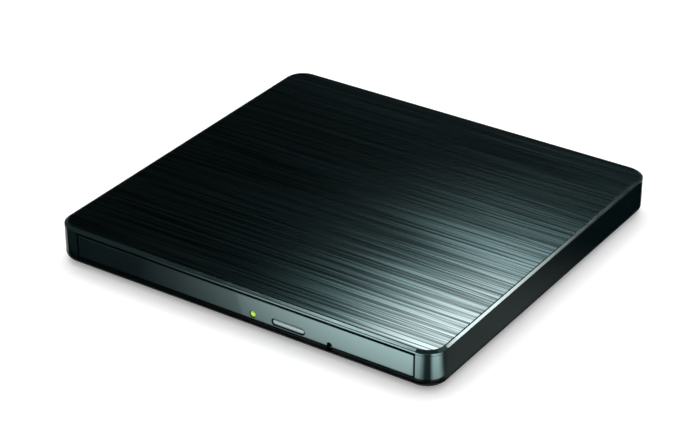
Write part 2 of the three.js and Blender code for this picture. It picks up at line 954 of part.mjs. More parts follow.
function discTray() {
  const block = box(
    centreX - trayHalf, centreX + trayHalf, trayFront, trayRear, trayBottom, rimTop,
  );
  const hollowed = cut(
    block,
    post(centreX, discY, recessRadius, recessFloor, rimTop + overrun, discSides),
    box(
      centreX - pocketHalf, centreX + pocketHalf, pocketFront, trayRear - trayWall,
      trayBottom - overrun, ceiling,
    ),
    prism(coverOutline(platePlay), ceiling - overrun, recessFloor + overrun)
      .applyMatrix4(traversePlace),
    ...[-1, 1].map((side) => sideBox(
      side, trayHalf - grooveDepth, trayHalf + overrun,
      frontY + bezelDepth + guideFrontGap, trayRear + overrun,
      railBottom - railGap, railTop + railGap,
    )),
  );
  const bosses = damperPlaces.flatMap(([a, c]) => [
    post(a, c, bossTopRadius, damperSeat, ceiling + trayFloor / 2).applyMatrix4(traversePlace),
    post(a, c, pinRadius, trayBottom + pinEndGap, damperSeat + trayFloor / 2)
      .applyMatrix4(traversePlace),
  ]);
  const latchBoss = [
    post(latchX, latchY, latchBossRadius, latchTop + pinEndGap, ceiling + trayFloor / 2),
    post(latchX, latchY, latchPinRadius, trayBottom + pinEndGap, latchTop + trayFloor),
  ];
  const guideY = trayRear - kickGuideLength;
  const kickHouse = [
    box(
      kickX - kickGuideHalf, kickX + kickGuideHalf, guideY, trayRear - trayWall / 2,
      trayBottom, ceiling + trayFloor / 2,
    ),
    box(
      kickX - kickGuideHalf, kickX + kickGuideHalf, springSeatY - springSeat, springSeatY,
      trayBottom, ceiling + trayFloor / 2,
    ),
  ];
  return cut(
    join(hollowed, ...bosses, ...latchBoss, ...kickHouse),
    box(
      kickX - kickRodHalfWidth - kickPlay, kickX + kickRodHalfWidth + kickPlay,
      guideY - overrun, trayRear + overrun,
      kickLevel - kickRodHalfHeight - kickPlay, kickLevel + kickRodHalfHeight + kickPlay,
    ),
    box(
      postCentreX - postSlotHalf, postCentreX + postSlotHalf, trayRear - trayWall - overrun,
      trayRear + overrun, trayBottom - overrun, panTop + postHeight + runGap,
    ),
    box(
      buttonX - stemWidth / 2 - runGap, buttonX + stemWidth / 2 + runGap,
      trayFront - overrun, pocketFront + overrun, trayBottom - overrun,
      buttonLevel + stemRise + runGap,
    ),
    barY(lightX, trayFront - overrun, pocketFront + overrun, lightLevel,
      lightRadius + runGap),
    box(
      pinHoleX - pinHoleWidth / 2, pinHoleX + pinHoleWidth / 2,
      trayFront - overrun, pocketFront + overrun, trayBottom - overrun,
      pinHoleTop + pinHoleWidth / 2,
    ),
  );
}

addPiece(drive, 'disc_tray', discTray(), finish('#1a1c1b', 0.45));

// Tray underside cover, slotted for the latch post that stays behind in the pan

const trayUnderCover = cut(
  box(
    centreX - trayHalf + trayCoverSide, centreX + trayHalf - trayCoverSide,
    trayFront + trayCoverInset, trayRear - trayCoverInset, unitBottom, trayBottom,
  ),
  box(
    postCentreX - postSlotHalf, postCentreX + postSlotHalf, postY - postSlotStart,
    trayRear + overrun, unitBottom - overrun, trayBottom + overrun,
  ),
);
addPiece(drive, 'tray_under_cover', trayUnderCover, sheetSteel);

// Bezel: the tray's front, with the button hole, light hole and emergency notch

function stadium(width, height, x, z) {
  const radius = height / 2;
  const reach = width / 2 - radius;
  const points = [];
  const steps = 10;
  for (const [side, start] of [[1, -Math.PI / 2], [-1, Math.PI / 2]]) {
    for (let step = 0; step <= steps; step += 1) {
      const angle = start + (step / steps) * Math.PI;
      points.push([x + side * reach + radius * Math.cos(angle), z + radius * Math.sin(angle)]);
    }
  }
  return points;
}

function trayBezel() {
  const middle = (bezelBottom + bezelTop) / 2;
  const levels = [[0, -frontY - bezelDepth], [0, -frontY - bezelEdge], [bezelEdge, -frontY]];
  const form = loft(levels, bezelHalf, (bezelTop - bezelBottom) / 2, bezelCorner)
    .rotateX(Math.PI / 2)
    .translate(centreX, 0, middle);
  const hole = stadium(
    buttonWidth + 2 * buttonGroove, buttonHeight + 2 * buttonGroove, buttonX, buttonLevel,
  );
  return cut(
    form,
    box(
      centreX - bezelHalf + bezelRim, centreX + bezelHalf - bezelRim, frontY + bezelFront,
      frontY + bezelDepth + overrun, bezelBottom + bezelFoot, bezelTop - bezelRim,
    ),
    prismY(hole, frontY - overrun, frontY + bezelFront + overrun / 2),
    barY(lightX, frontY - overrun, frontY + bezelDepth + overrun, lightLevel,
      lightRadius + holeGap),
    barY(pinHoleX, frontY - overrun, frontY + bezelDepth + overrun, pinHoleTop,
      pinHoleWidth / 2),
    box(
      pinHoleX - pinHoleWidth / 2, pinHoleX + pinHoleWidth / 2,
      frontY - overrun, frontY + bezelDepth + overrun, bezelBottom - overrun, pinHoleTop,
    ),
  );
}

addPiece(drive, 'tray_bezel', trayBezel(), finish('#20302c', 0.12));

// Eject button: a flat pill with a flange behind the bezel and a stem to the switch

function ejectButton() {
  const face = frontY + buttonSink;
  const flangeFront = frontY + bezelFront + seatGap;
  const flangeBack = flangeFront + flangeThick;
  return join(
    prismY(stadium(buttonWidth, buttonHeight, buttonX, buttonLevel), face,
      flangeFront + flangeThick / 2),
    box(
      buttonX - flangeWidth / 2, buttonX + flangeWidth / 2, flangeFront,
      flangeBack, buttonLevel - flangeFall, buttonLevel + flangeRise,
    ),
    box(
      buttonX - stemWidth / 2, buttonX + stemWidth / 2,
      flangeBack - flangeThick / 2, frontY + stemEnd, buttonLevel - stemRise, buttonLevel + stemRise,
    ),
  );
}

addPiece(drive, 'eject_button', ejectButton(), finish('#aebfc4', 0.25));

// Activity light: a clear pipe through the bezel, and the lamp on the board behind it

const lightPipe = join(
  barY(lightX, frontY, frontY + lightEnd, lightLevel, lightRadius),
  barY(lightX, frontY + bezelFront + seatGap,
    frontY + bezelFront + seatGap + lightFlangeThick, lightLevel, lightFlangeRadius),
);
addPiece(drive, 'light_pipe', lightPipe, finish('#b7d84a', 0.3));

const lampFront = pocketFront + lampSetBack;
addPiece(drive, 'led_lamp', box(
  lightX - lampSize / 2, lightX + lampSize / 2, lampFront, lampFront + lampSize,
  boardBottom - partGap - lampSize, boardBottom - partGap,
), finish('#e8ead0', 0.4));

// Control board under the tray's ceiling, with the eject switch and a chip below it.
// Its slanting edge runs beside the sled motor.

function controlBoard() {
  const front = pocketFront + boardFrontGap;
  const right = centreX + pocketHalf - boardSideGap;
  const rear = springSeatY - springSeat - boardSpringGap;
  const slantedEdge = screwSide + motorRadius + boardMotorGap;
  return cut(
    box(lightX - boardPastLight, right, front, rear, boardBottom, boardTop),
    box(-caseDepth, caseDepth, -caseWidth, slantedEdge, boardBottom - overrun, boardTop + overrun)
      .applyMatrix4(traversePlace),
    post(latchX, latchY, latchBossRadius + boardHoleGap, boardBottom - overrun, boardTop + overrun),
  );
}

const circuitGreen = finish('#1e4a33', 0.5);
const chipBlack = finish('#101112', 0.45);
addPiece(drive, 'control_board', controlBoard(), circuitGreen);

const switchFront = pocketFront + switchSetBack;
const switchMiddle = boardBottom - partGap - switchHeight / 2;
const ejectSwitch = join(
  box(
    buttonX - switchWidth / 2, buttonX + switchWidth / 2, switchFront,
    switchFront + switchDepth, boardBottom - partGap - switchHeight, boardBottom - partGap,
  ),
  box(
    buttonX - nubWidth / 2, buttonX + nubWidth / 2, switchFront - nubDepth,
    switchFront + switchDepth / 2, switchMiddle - nubHeight / 2, switchMiddle + nubHeight / 2,
  ),
);
addPiece(drive, 'eject_switch', ejectSwitch, finish('#8d8f8c', 0.5));

const chipX = latchX - chipFromLatch;
const chipY = frontY + chipFromFront;
addPiece(drive, 'servo_chip', box(
  chipX - chipSize / 2, chipX + chipSize / 2, chipY - chipSize / 2, chipY + chipSize / 2,
  boardBottom - partGap - chipHeight, boardBottom - partGap,
), chipBlack);

// Latch: a flat lever that hooks behind a post in the pan, and the solenoid that pulls it

function latchHook() {
  const armTip = latchX - latchArmReach;
  const hookEnd = latchY + hookReach;
  const plate = join(
    post(latchX, latchY, latchHubRadius, latchBottom, latchTop),
    box(armTip, latchX, latchY - latchArmHalf, latchY + latchArmHalf, latchBottom, latchTop),
    prism([
      [latchX, latchY - latchHubRadius],
      [latchX + hookOuter, latchY],
      [latchX + hookOuter, hookEnd],
      [latchX + hookInner, hookEnd],
      [latchX + hookInner, latchY + latchHubRadius],
      [latchX, latchY + latchHubRadius / 2],
    ], latchBottom, latchTop),
    box(
      latchX + hookTipX, latchX + hookOuter, hookEnd - hookTipDepth, hookEnd,
      latchBottom, latchTop,
    ),
  );
  return cut(plate, post(
    latchX, latchY, latchPinRadius + holeGap, latchBottom - overrun, latchTop + overrun,
  ));
}

addPiece(drive, 'latch_hook', latchHook(), finish('#e4e1d6', 0.45));
addPiece(drive, 'latch_post', post(postCentreX, postY, postRadius, panTop, panTop + postHeight),
  zincSteel);

const coilFront = latchX + coilFromLatch;
const coilY = latchY + coilFromPivot;
const coilTop = boardBottom - 2 * partGap;
const plungerLevel = coilTop - coilHeight / 2;
const solenoidCoil = cut(
  box(
    coilFront, coilFront + coilWidth, coilY - coilDepth / 2, coilY + coilDepth / 2,
    coilTop - coilHeight, coilTop,
  ),
  barX(coilFront - overrun, coilFront + coilWidth - coilWall, coilY, plungerLevel,
    plungerRadius + holeGap),
);
addPiece(drive, 'solenoid_coil', solenoidCoil, finish('#9a5a2c', 0.4, 0.6));
const plungerFront = latchX + plungerFromLatch;
addPiece(drive, 'solenoid_plunger', barX(
  plungerFront, plungerFront + plungerLength, coilY, plungerLevel, plungerRadius,
), zincSteel);

// Kick-out plunger: a sprung rod that pushes off the pan's rear wall

const kickHeadFront = trayRear - kickHeadFromRear;

function kickPlunger() {
  return join(
    box(
      kickX - kickRodHalfWidth, kickX + kickRodHalfWidth, kickHeadFront + kickHeadDepth / 2,
      trayRear + kickPastRear, kickLevel - kickRodHalfHeight, kickLevel + kickRodHalfHeight,
    ),
    box(
      kickX - kickHeadHalf, kickX + kickHeadHalf, kickHeadFront, kickHeadFront + kickHeadDepth,
      kickLevel - kickHeadHalf, kickLevel + kickHeadHalf,
    ),
    barY(kickX, kickHeadFront - kickTongueLength, kickHeadFront + kickHeadDepth / 2, kickLevel,
      kickTongueRadius),
  );
}

addPiece(drive, 'kick_plunger', kickPlunger(), finish('#dcdad0', 0.45));

class SpringPath extends THREE.Curve {
  getPoint(t, target = new THREE.Vector3()) {
    const angle = 2 * Math.PI * springTurns * t;
    const start = kickHeadFront - seatGap - springWire;
    return target.set(
      kickX + springRadius * Math.cos(angle),
      start - (springLength - 2 * springWire - seatGap) * t,
      kickLevel + springRadius * Math.sin(angle),
    );
  }
}

function kickSpring() {
  const ring = [];
  for (let side = 0; side < springSides; side += 1) {
    const angle = (side / springSides) * 2 * Math.PI;
    ring.push([springWire * Math.cos(angle), springWire * Math.sin(angle)]);
  }
  return new THREE.ExtrudeGeometry(outlineShape(ring), {
    steps: springTurns * springStepsPerTurn,
    extrudePath: new SpringPath(),
    bevelEnabled: false,
  });
}

addPiece(drive, 'kick_spring', kickSpring(), zincSteel);

// Spindle motor: a base with its stator, and the turntable that turns on it

const padTop = recessFloor + discFloat;
const tableTop = padTop - padThick;
const tableBottom = tableTop - tableThick;
const baseTop = deckTop + seatGap + basePlate;
const rotorBottom = deckTop + seatGap + rotorUnder;

const spindleBase = cut(
  join(
    box(
      centreX - baseHalf * Math.SQRT1_2, centreX + baseHalf * Math.SQRT1_2,
      discY - baseHalf * Math.SQRT1_2, discY + baseHalf * Math.SQRT1_2, deckTop + seatGap, baseTop,
    ),
    post(centreX, discY, statorRadius, deckTop + seatGap, baseTop + statorHeight),
    post(centreX, discY, bearingRadius, deckTop + seatGap, baseTop + bearingHeight),
  ),
  post(centreX, discY, shaftRadius + holeGap, deckTop, baseTop + bearingHeight + overrun),
);
addPiece(drive, 'spindle_base', spindleBase, finish('#6d716f', 0.4, 0.8));

const hubTop = padTop + hubHeight;
const rotorCeiling = tableBottom - rotorRoof;

function turntable() {
  const form = turned([
    [0, deckTop + seatGap + partGap],
    [shaftRadius, deckTop + seatGap + partGap],
    [shaftRadius, rotorCeiling],
    [rotorRadius - rotorWall, rotorCeiling],
    [rotorRadius - rotorWall, rotorBottom],
    [rotorRadius, rotorBottom],
    [rotorRadius, tableBottom],
    [tableRadius, tableBottom],
    [tableRadius, tableTop],
    [hubRadius, tableTop],
    [hubRadius, hubTop - hubBevel],
    [hubRadius - hubBevel, hubTop],
    [0, hubTop],
  ], 0, 0, discSides / 2);
  const slots = [];
  for (let claw = 0; claw < clawCount; claw += 1) {
    const slot = box(
      clawRecess, hubRadius + overrun, -clawWidth / 2 - clawPlay, clawWidth / 2 + clawPlay,
      padTop + clawRise - clawPlay, hubTop + overrun,
    );
    slots.push(slot.rotateZ(clawAngle(claw)));
  }
  return cut(form, ...slots);
}

function clawAngle(claw) {
  return Math.PI / 2 + claw * 2 * Math.PI / clawCount;
}

const spindle = new THREE.Group();
spindle.position.set(centreX, discY, 0);
drive.add(spindle);
addPiece(spindle, 'turntable', turntable(), finish('#1b1b1c', 0.4));
addPiece(spindle, 'turntable_pad', turned([
  [padInner, tableTop],
  [tableRadius - padInset, tableTop],
  [tableRadius - padInset, padTop],
  [padInner, padTop],
  [padInner, tableTop],
], 0, 0, discSides / 2), rubber);

for (let claw = 0; claw < clawCount; claw += 1) {
  const place = new THREE.Group();
  place.rotation.z = clawAngle(claw);
  spindle.add(place);
  addPiece(place, `disc_claw_${claw + 1}`, box(
    clawRoot, clawTip, -clawWidth / 2, clawWidth / 2, padTop + clawRise,
    padTop + clawRise + clawHeight,
  ), finish('#c8c9c4', 0.4));
}

// Traverse: all of it stands in its turned frame

const traverse = new THREE.Group();
traverse.position.set(centreX, discY, 0);
traverse.rotation.z = traverseTurn * Math.PI / 180;
drive.add(traverse);

function traverseDeck() {
  const outline = mirroredOutline([
    [-deckInnerEnd, deckHalf],
    [deckShoulder, deckHalf],
    [deckOuterEnd, deckOuterHalf],
    [deckOuterEnd, deckEarHalf],
    [damperOuter + deckEarPast, deckEarHalf],
  ]);
  const window = mirroredOutline([
    [windowInnerEnd, deckHalf - deckRim],
    [deckShoulder - deckTaperRim, deckHalf - deckRim],
    [deckOuterEnd - deckOuterRim, deckOuterHalf - deckEndRim],
  ]);
  const holders = [];
  const bores = [];
  for (const side of [-1, 1]) {
    for (const start of [holderInner, rodEnd - holderFromEnd]) {
      holders.push(box(
        start, start + holderThick, side * (rodSide - holderHalf), side * (rodSide + holderHalf),
        deckBottom, deckTop + holderRise,
      ));
    }
    bores.push(barX(
      rodStart - rodBoreGap, rodEnd + rodBoreGap, side * rodSide, rodLevel, rodRadius + rodBoreGap,
    ));
    bores.push(box(
      rodStart - rodBoreGap, holderInner, side * rodSide - rodSlotHalf, side * rodSide + rodSlotHalf,
      deckBottom - overrun, deckTop + overrun,
    ));
  }
  const plate = cut(
    prism(outline, deckBottom, deckTop),
    prism(window, deckBottom - overrun, deckTop + overrun),
  );
  const damperHoles = damperPlaces.map(([a, c]) => post(
    a, c, damperNeckRadius + runGap, deckBottom - overrun, deckTop + overrun,
  ));
  return cut(join(plate, ...holders), ...bores, ...damperHoles);
}

addPiece(traverse, 'traverse_deck', traverseDeck(), sheetSteel);

damperPlaces.forEach(([a, c], index) => {
  const foot = trayBottom + partGap;
  const damper = turned([
    [damperBore, foot],
    [damperFootRadius, foot],
    [damperFootRadius, foot + damperFootThick],
    [damperNeckRadius, foot + damperFootThick],
    [damperNeckRadius, deckTop + damperDeckGap],
    [damperRadius, deckTop + damperDeckGap],
    [damperRadius, deckTop + damperDeckGap + damperTop],
    [damperBore, deckTop + damperDeckGap + damperTop],
    [damperBore, foot],
  ], a, c);
  addPiece(traverse, `deck_damper_${index + 1}`, damper, rubber);
});

// Cover plate over the traverse, with the hub hole and the lens slot

const coverTop = recessFloor - coverBelowFloor;
const traverseCover = cut(
  prism(coverOutline(0), coverTop - coverSheet, coverTop),
  post(0, 0, coverHubHole, ceiling, recessFloor + overrun, discSides / 2),
  box(0, coverOuter - coverSlotRim, -coverSlotHalf, coverSlotHalf, ceiling, recessFloor + overrun),
);
addPiece(traverse, 'traverse_cover', traverseCover, sheetSteel);

for (const [name, side] of [['main_guide_rod', 1], ['second_guide_rod', -1]]) {
  addPiece(traverse, name, barX(rodStart, rodEnd, side * rodSide, rodLevel, rodRadius), zincSteel);
}

// Pickup body, carried on both rods, with the well that holds the lens

const pickupBottom = trayBottom + pickupUnder;
const pickupRoof = deckTop + pickupTop;

function pickupBody() {
  const outline = mirroredOutline([
    [lensRest - pickupBack, pickupHalf],
    [lensRest + pickupShoulder, pickupHalf],
    [lensRest + pickupNose, pickupHalf - pickupTaper],
  ]);
  const arms = box(
    lensRest - armBack, lensRest - armFront, -armHalf, armHalf, pickupBottom, pickupRoof,
  );
  const armsGap = box(
    lensRest - armBack - overrun, lensRest - pickupBack, -pickupHalf, pickupHalf,
    pickupBottom - overrun, pickupRoof + overrun,
  );
  const yoke = box(
    lensRest - yokeHalfLong, lensRest + yokeHalfLong, -yokeHalfWide, yokeHalfWide,
    pickupRoof - yokeRise, pickupRoof + yokeRise,
  );
  const well = box(
    lensRest - wellHalfLong, lensRest + wellHalfLong, -wellHalfWide, wellHalfWide,
    pickupRoof - wellFloor, pickupRoof + yokeRise + overrun,
  );
  const bores = [-1, 1].map((side) => barX(
    lensRest - armBack - overrun, lensRest - armFront + overrun, side * rodSide, rodLevel,
    rodRadius + rodBoreGap,
  ));
  return cut(join(prism(outline, pickupBottom, pickupRoof), arms, yoke), armsGap, well, ...bores);
}

addPiece(traverse, 'pickup_body', pickupBody(), finish('#8b8f90', 0.45, 0.7));

const lensHolderTop = pickupRoof + yokeRise + lensHolderRise;
const lensHolder = cut(
  box(
    lensRest - wellHalfLong + holderPlay, lensRest + wellHalfLong - holderPlay,
    -wellHalfWide + holderPlay, wellHalfWide - holderPlay,
    pickupRoof - wellFloor + lensHolderLift, lensHolderTop,
  ),
  post(lensRest, 0, lensRadius + runGap, lensHolderTop - lensSeat, lensHolderTop + overrun),
);
addPiece(traverse, 'lens_holder', lensHolder, chipBlack);

const lensBottom = lensHolderTop - lensSeat + partGap;
const domeShare = 0.75;
const domeRiseShare = 0.8;
const lens = turned([
  [0, lensBottom],
  [lensRadius, lensBottom],
  [lensRadius, lensBottom + lensRise / 2],
  [lensRadius * domeShare, lensBottom + lensRise * domeRiseShare],
  [0, lensBottom + lensRise],
], lensRest, 0);
addPiece(traverse, 'objective_lens', lens, finish('#4a5fa0', 0.05));

// Sled drive: motor, bracket, lead screw and the rack on the pickup's arm

const screwLevel = rodLevel;
const sledMotor = common(
  barX(-motorBack, motorFront, screwSide, screwLevel, motorRadius),
  box(
    -motorBack - overrun, motorFront + overrun, screwSide - motorRadius - overrun,
    screwSide + motorRadius + overrun, screwLevel - motorHalfHeight, screwLevel + motorHalfHeight,
  ),
);
addPiece(traverse, 'sled_motor', sledMotor, finish('#b0b3b2', 0.35, 0.9));

const bracketInner = deckHalf + runGap;
const tabStarts = [motorFront + runGap, bracketEnd - bracketTab];
const sledBracket = cut(
  join(
    box(tabStarts[0], bracketEnd, bracketInner, bracketOuter, deckBottom, deckBottom + bracketSheet),
    ...tabStarts.map((start) => box(
      start, start + bracketTab, bracketInner, bracketOuter, deckBottom, deckTop + bracketRise,
    )),
  ),
  barX(motorFront, bracketEnd + overrun, screwSide, screwLevel, leadRadius + rodBoreGap),
);
addPiece(traverse, 'sled_bracket', sledBracket, sheetSteel);

addPiece(traverse, 'lead_screw', barX(leadStart, bracketEnd, screwSide, screwLevel, leadRadius),
  zincSteel);

const rack = cut(
  box(
    lensRest - rackBack, lensRest - rackFront, armHalf + rackGap, screwSide + rackReach,
    deckTop + rackUnder, pickupRoof,
  ),
  barX(lensRest - rackBack - overrun, lensRest, screwSide, screwLevel, leadRadius + rodBoreGap),
);
addPiece(traverse, 'sled_rack', rack, finish('#e6e3d8', 0.45));

// Rear bay: bridge board, its chip and the USB socket

addPiece(drive, 'bridge_board', box(
  -bridgeWidth / 2, bridgeWidth / 2, bridgeFront, bridgeRear, bridgeBottom, bridgeTop,
), circuitGreen);
const bridgeMiddle = (bridgeFront + bridgeRear) / 2;
addPiece(drive, 'bridge_chip', box(
  -bridgeChipSize / 2, bridgeChipSize / 2, bridgeMiddle - bridgeChipSize / 2,
  bridgeMiddle + bridgeChipSize / 2, bridgeTop + partGap, bridgeTop + partGap + bridgeChipHeight,
), chipBlack);

// The socket's section narrows towards its foot
function socketOutline(inset) {
  const half = socketWidth / 2 - inset;
  const low = socketBottom + inset;
  const high = socketBottom + socketHeight - inset;
  return [
    [socketX - half + socketBevel, low],
    [socketX + half - socketBevel, low],
    [socketX + half, low + socketBevel],
    [socketX + half, high],
    [socketX - half, high],
    [socketX - half, low + socketBevel],
  ];
}

const socketRear = rearY - socketSink;
const usbSocket = cut(
  prismY(socketOutline(0), socketRear - socketDepth, socketRear),
  prismY(socketOutline(socketWall), socketRear - socketDepth + socketBack, socketRear + overrun),
);
addPiece(drive, 'usb_socket', usbSocket, finish('#c3c6c5', 0.3, 1));
const tongueLevel = socketBottom + socketHeight / 2;
const tongueBack = socketRear - socketDepth + socketBack + seatGap;
addPiece(drive, 'usb_tongue', box(
  socketX - tongueWidth / 2, socketX + tongueWidth / 2, tongueBack, tongueBack + tongueLength,
  tongueLevel - tongueThick / 2, tongueLevel + tongueThick / 2,
), chipBlack);

export default drive;
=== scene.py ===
"""A slim external disc drive, put together in the order in which its parts go in.

Lengths on the drive, and on the two cards laid out by it, are millimetres until they are
turned into metres. The camera's and the rest of the studio's are metres.
"""

import bmesh
import bpy
import numpy as np
from mathutils import Matrix, Vector
from mathutils.geometry import tessellate_polygon


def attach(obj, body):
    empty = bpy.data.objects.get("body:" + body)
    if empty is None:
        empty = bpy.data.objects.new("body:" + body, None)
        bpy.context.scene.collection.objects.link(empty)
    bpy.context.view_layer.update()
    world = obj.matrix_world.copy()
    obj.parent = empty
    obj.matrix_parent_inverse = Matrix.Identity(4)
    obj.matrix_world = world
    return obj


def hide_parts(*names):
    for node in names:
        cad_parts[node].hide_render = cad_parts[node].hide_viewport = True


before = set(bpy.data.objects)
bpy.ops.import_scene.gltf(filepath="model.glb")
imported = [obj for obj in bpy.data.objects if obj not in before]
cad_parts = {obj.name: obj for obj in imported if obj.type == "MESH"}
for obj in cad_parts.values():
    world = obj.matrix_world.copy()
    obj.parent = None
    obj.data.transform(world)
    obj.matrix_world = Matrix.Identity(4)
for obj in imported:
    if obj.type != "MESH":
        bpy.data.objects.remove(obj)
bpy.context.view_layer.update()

# Camera: a long lens, looking down on the front right corner from half a metre away.

camera_place = (0.35652, -0.54439, 0.37317)
camera_right = (0.83370, 0.55222, 0.00124)
camera_up = (-0.27359, 0.41109, 0.86957)
camera_back = (0.47968, -0.72530, 0.49381)

lens = bpy.data.cameras.new("product_camera")
lens.sensor_fit = "HORIZONTAL"
lens.sensor_width = 36
lens.lens = 116.2008
lens.clip_start = 0.01
camera = bpy.data.objects.new("product_camera", lens)
bpy.context.scene.collection.objects.link(camera)
camera.matrix_world = Matrix(
    [
        (right, up, back, place)
        for right, up, back, place in zip(camera_right, camera_up, camera_back, camera_place)
    ]
    + [(0, 0, 0, 1)]
)
bpy.context.scene.camera = camera
bpy.context.scene.view_settings.view_transform = "Standard"

# Studio: a white table with a soft sheen, an even white surround, and one broad
# overhead lamp. Dim and bright cards stand round it, and only glossy faces see them.

table_half = 6.0
overhead_place = (-0.35, 0.45, 1.5)
card_distance = 2.5


def add_node(tree, kind, sockets=(), **settings):
    """A shader node of that kind, with its settings and the values or links of its inputs."""
    made = tree.nodes.new(kind)
    for key, value in settings.items():
        setattr(made, key, value)
    for key, value in dict(sockets).items():
        if isinstance(value, bpy.types.NodeSocket):
            tree.links.new(value, made.inputs[key])
        else:
            made.inputs[key].default_value = value
    return made


def blank_material(name):
    """A material with an empty node tree and its output node."""
    material = bpy.data.materials.new(name)
    material.use_nodes = True
    tree = material.node_tree
    tree.nodes.clear()
    return material, tree, add_node(tree, "ShaderNodeOutputMaterial")


def arithmetic(tree, operation, first, second=0.0, third=0.0):
    """The result of one Math node on two or three numbers or links."""
    made = add_node(tree, "ShaderNodeMath", {0: first, 1: second, 2: third}, operation=operation)
    return made.outputs[0]


def times(tree, *factors):
    """The product of numbers and links, from left to right."""
    product = factors[0]
    for factor in factors[1:]:
        product = arithmetic(tree, "MULTIPLY", product, factor)
    return product


def ramp(tree, value, stops):
    """A Color Ramp of greys on a value from 0 to 1, with (place, grey) stops."""
    made = add_node(tree, "ShaderNodeValToRGB", {0: value})
    elements = made.color_ramp.elements
    while len(elements) < len(stops):
        elements.new(0.5)
    for element, (place, grey) in zip(elements, stops):
        element.position = place
        element.color = (grey, grey, grey, 1)
    return made.outputs[0]


def steps_between(tree, value, low, high):
    """A smooth rise from 0 at low to 1 at high."""
    made = add_node(
        tree,
        "ShaderNodeMapRange",
        {"Value": value, "From Min": low, "From Max": high},
        interpolation_type="SMOOTHSTEP",
    )
    return made.outputs[0]


def blend(tree, share, first, second):
    """The colour at a share of the way from the first to the second."""
    made = add_node(tree, "ShaderNodeMix", {0: share, 6: first, 7: second}, data_type="RGBA")
    return made.outputs[2]


def shade_with(tree, output, kind, sockets):
    """Ends a tree in a shader of that kind, linked to the output."""
    made = add_node(tree, kind, sockets)
    tree.links.new(made.outputs[0], output.inputs[0])


def principled(tree, output, **sockets):
    """Ends a tree in a Principled shader, whose sockets are named in small letters here."""
    values = {
        key.replace("_", " ").title().replace("Ior", "IOR"): value for key, value in sockets.items()
    }
    shade_with(tree, output, "ShaderNodeBsdfPrincipled", values)


def stage_mesh(name, points, faces, material):
    """A part of the studio, from points in metres."""
    mesh = bpy.data.meshes.new(name)
    mesh.from_pydata(np.asarray(points, float).tolist(), [], faces)
    mesh.materials.append(material)
    made = bpy.data.objects.new(name, mesh)
    bpy.context.scene.collection.objects.link(made)
    return made


def only_in_gloss(card):
    """Hides a card from every ray but those that glossy faces send out."""
    for use in ("camera", "diffuse", "transmission", "volume_scatter", "shadow"):
        setattr(card, f"visible_{use}", False)


def one_sided(tree, shader, output):
    """Lets a card shine from its front and be clear from behind."""
    behind = add_node(tree, "ShaderNodeNewGeometry").outputs["Backfacing"]
    clear = add_node(tree, "ShaderNodeBsdfTransparent").outputs[0]
    shade_with(tree, output, "ShaderNodeMixShader", {0: behind, 1: shader, 2: clear})


table_white, tree, output = blank_material("white_table")
ray = add_node(tree, "ShaderNodeLightPath")
from_camera = ray.outputs["Is Camera Ray"]
principled(
    tree,
    output,
    base_color=blend(tree, from_camera, (0.72, 0.72, 0.72, 1), (1.0, 1.0, 1.0, 1)),
    roughness=0.12,
    ior=1.45,
    emission_color=(1, 1, 1, 1),
    emission_strength=times(tree, from_camera, 0.25),
)
stage_mesh(
    "white_table",
    [(x, y, 0) for x, y in ((-1, -1), (1, -1), (1, 1), (-1, 1))] * np.array(table_half),
    [(0, 1, 2, 3)],
    table_white,
)

surround = bpy.data.worlds.new("white_surround")
bpy.context.scene.world = surround
surround.use_nodes = True
tree = surround.node_tree
tree.nodes.clear()
ray = add_node(tree, "ShaderNodeLightPath")
seen = arithmetic(tree, "MAXIMUM", ray.outputs["Is Camera Ray"], ray.outputs["Is Glossy Ray"])
seen = arithmetic(tree, "MAXIMUM", seen, ray.outputs["Is Transmission Ray"])
level = add_node(tree, "ShaderNodeMapRange", {"Value": seen, "To Min": 0.7, "To Max": 1.0})
sky = {"Color": (1, 1, 1, 1), "Strength": level.outputs[0]}
shade_with(tree, add_node(tree, "ShaderNodeOutputWorld"), "ShaderNodeBackground", sky)

overhead = bpy.data.lights.new("overhead_lamp", "AREA")
overhead.shape = "RECTANGLE"
overhead.size = 1.6
overhead.size_y = 1.2
overhead.energy = 14
overhead_lamp = bpy.data.objects.new("overhead_lamp", overhead)
overhead_lamp.location = overhead_place
overhead_lamp.rotation_euler = Vector(overhead_place).to_track_quat("Z", "Y").to_euler()
overhead_lamp.visible_camera = False
overhead_lamp.visible_glossy = False
bpy.context.scene.collection.objects.link(overhead_lamp)


def grid_card(name, points):
    """A card through a grid of points in metres. Its UV runs from 0 to 1 along the grid's
    columns and rows. Gives its node tree, the tree's output node, and the UV's two parts.
    """
    rows, columns = points.shape[:2]
    low = (np.arange(rows - 1)[:, None] * columns + np.arange(columns - 1)).ravel()
    faces = np.stack([low, low + columns, low + columns + 1, low + 1], -1)
    material, tree, output = blank_material(name)
    card = stage_mesh(name, points.reshape(-1, 3), faces.tolist(), material)
    corner = faces.ravel()
    places = np.stack([corner % columns / (columns - 1), corner // columns / (rows - 1)], -1)
    card.data.uv_layers.new(name="card").data.foreach_set("uv", places.ravel())
    only_in_gloss(card)
    uv = add_node(tree, "ShaderNodeUVMap", uv_map="card")
    split = add_node(tree, "ShaderNodeSeparateXYZ", {0: uv.outputs[0]})
    return tree, output, split.outputs[0], split.outputs[1]


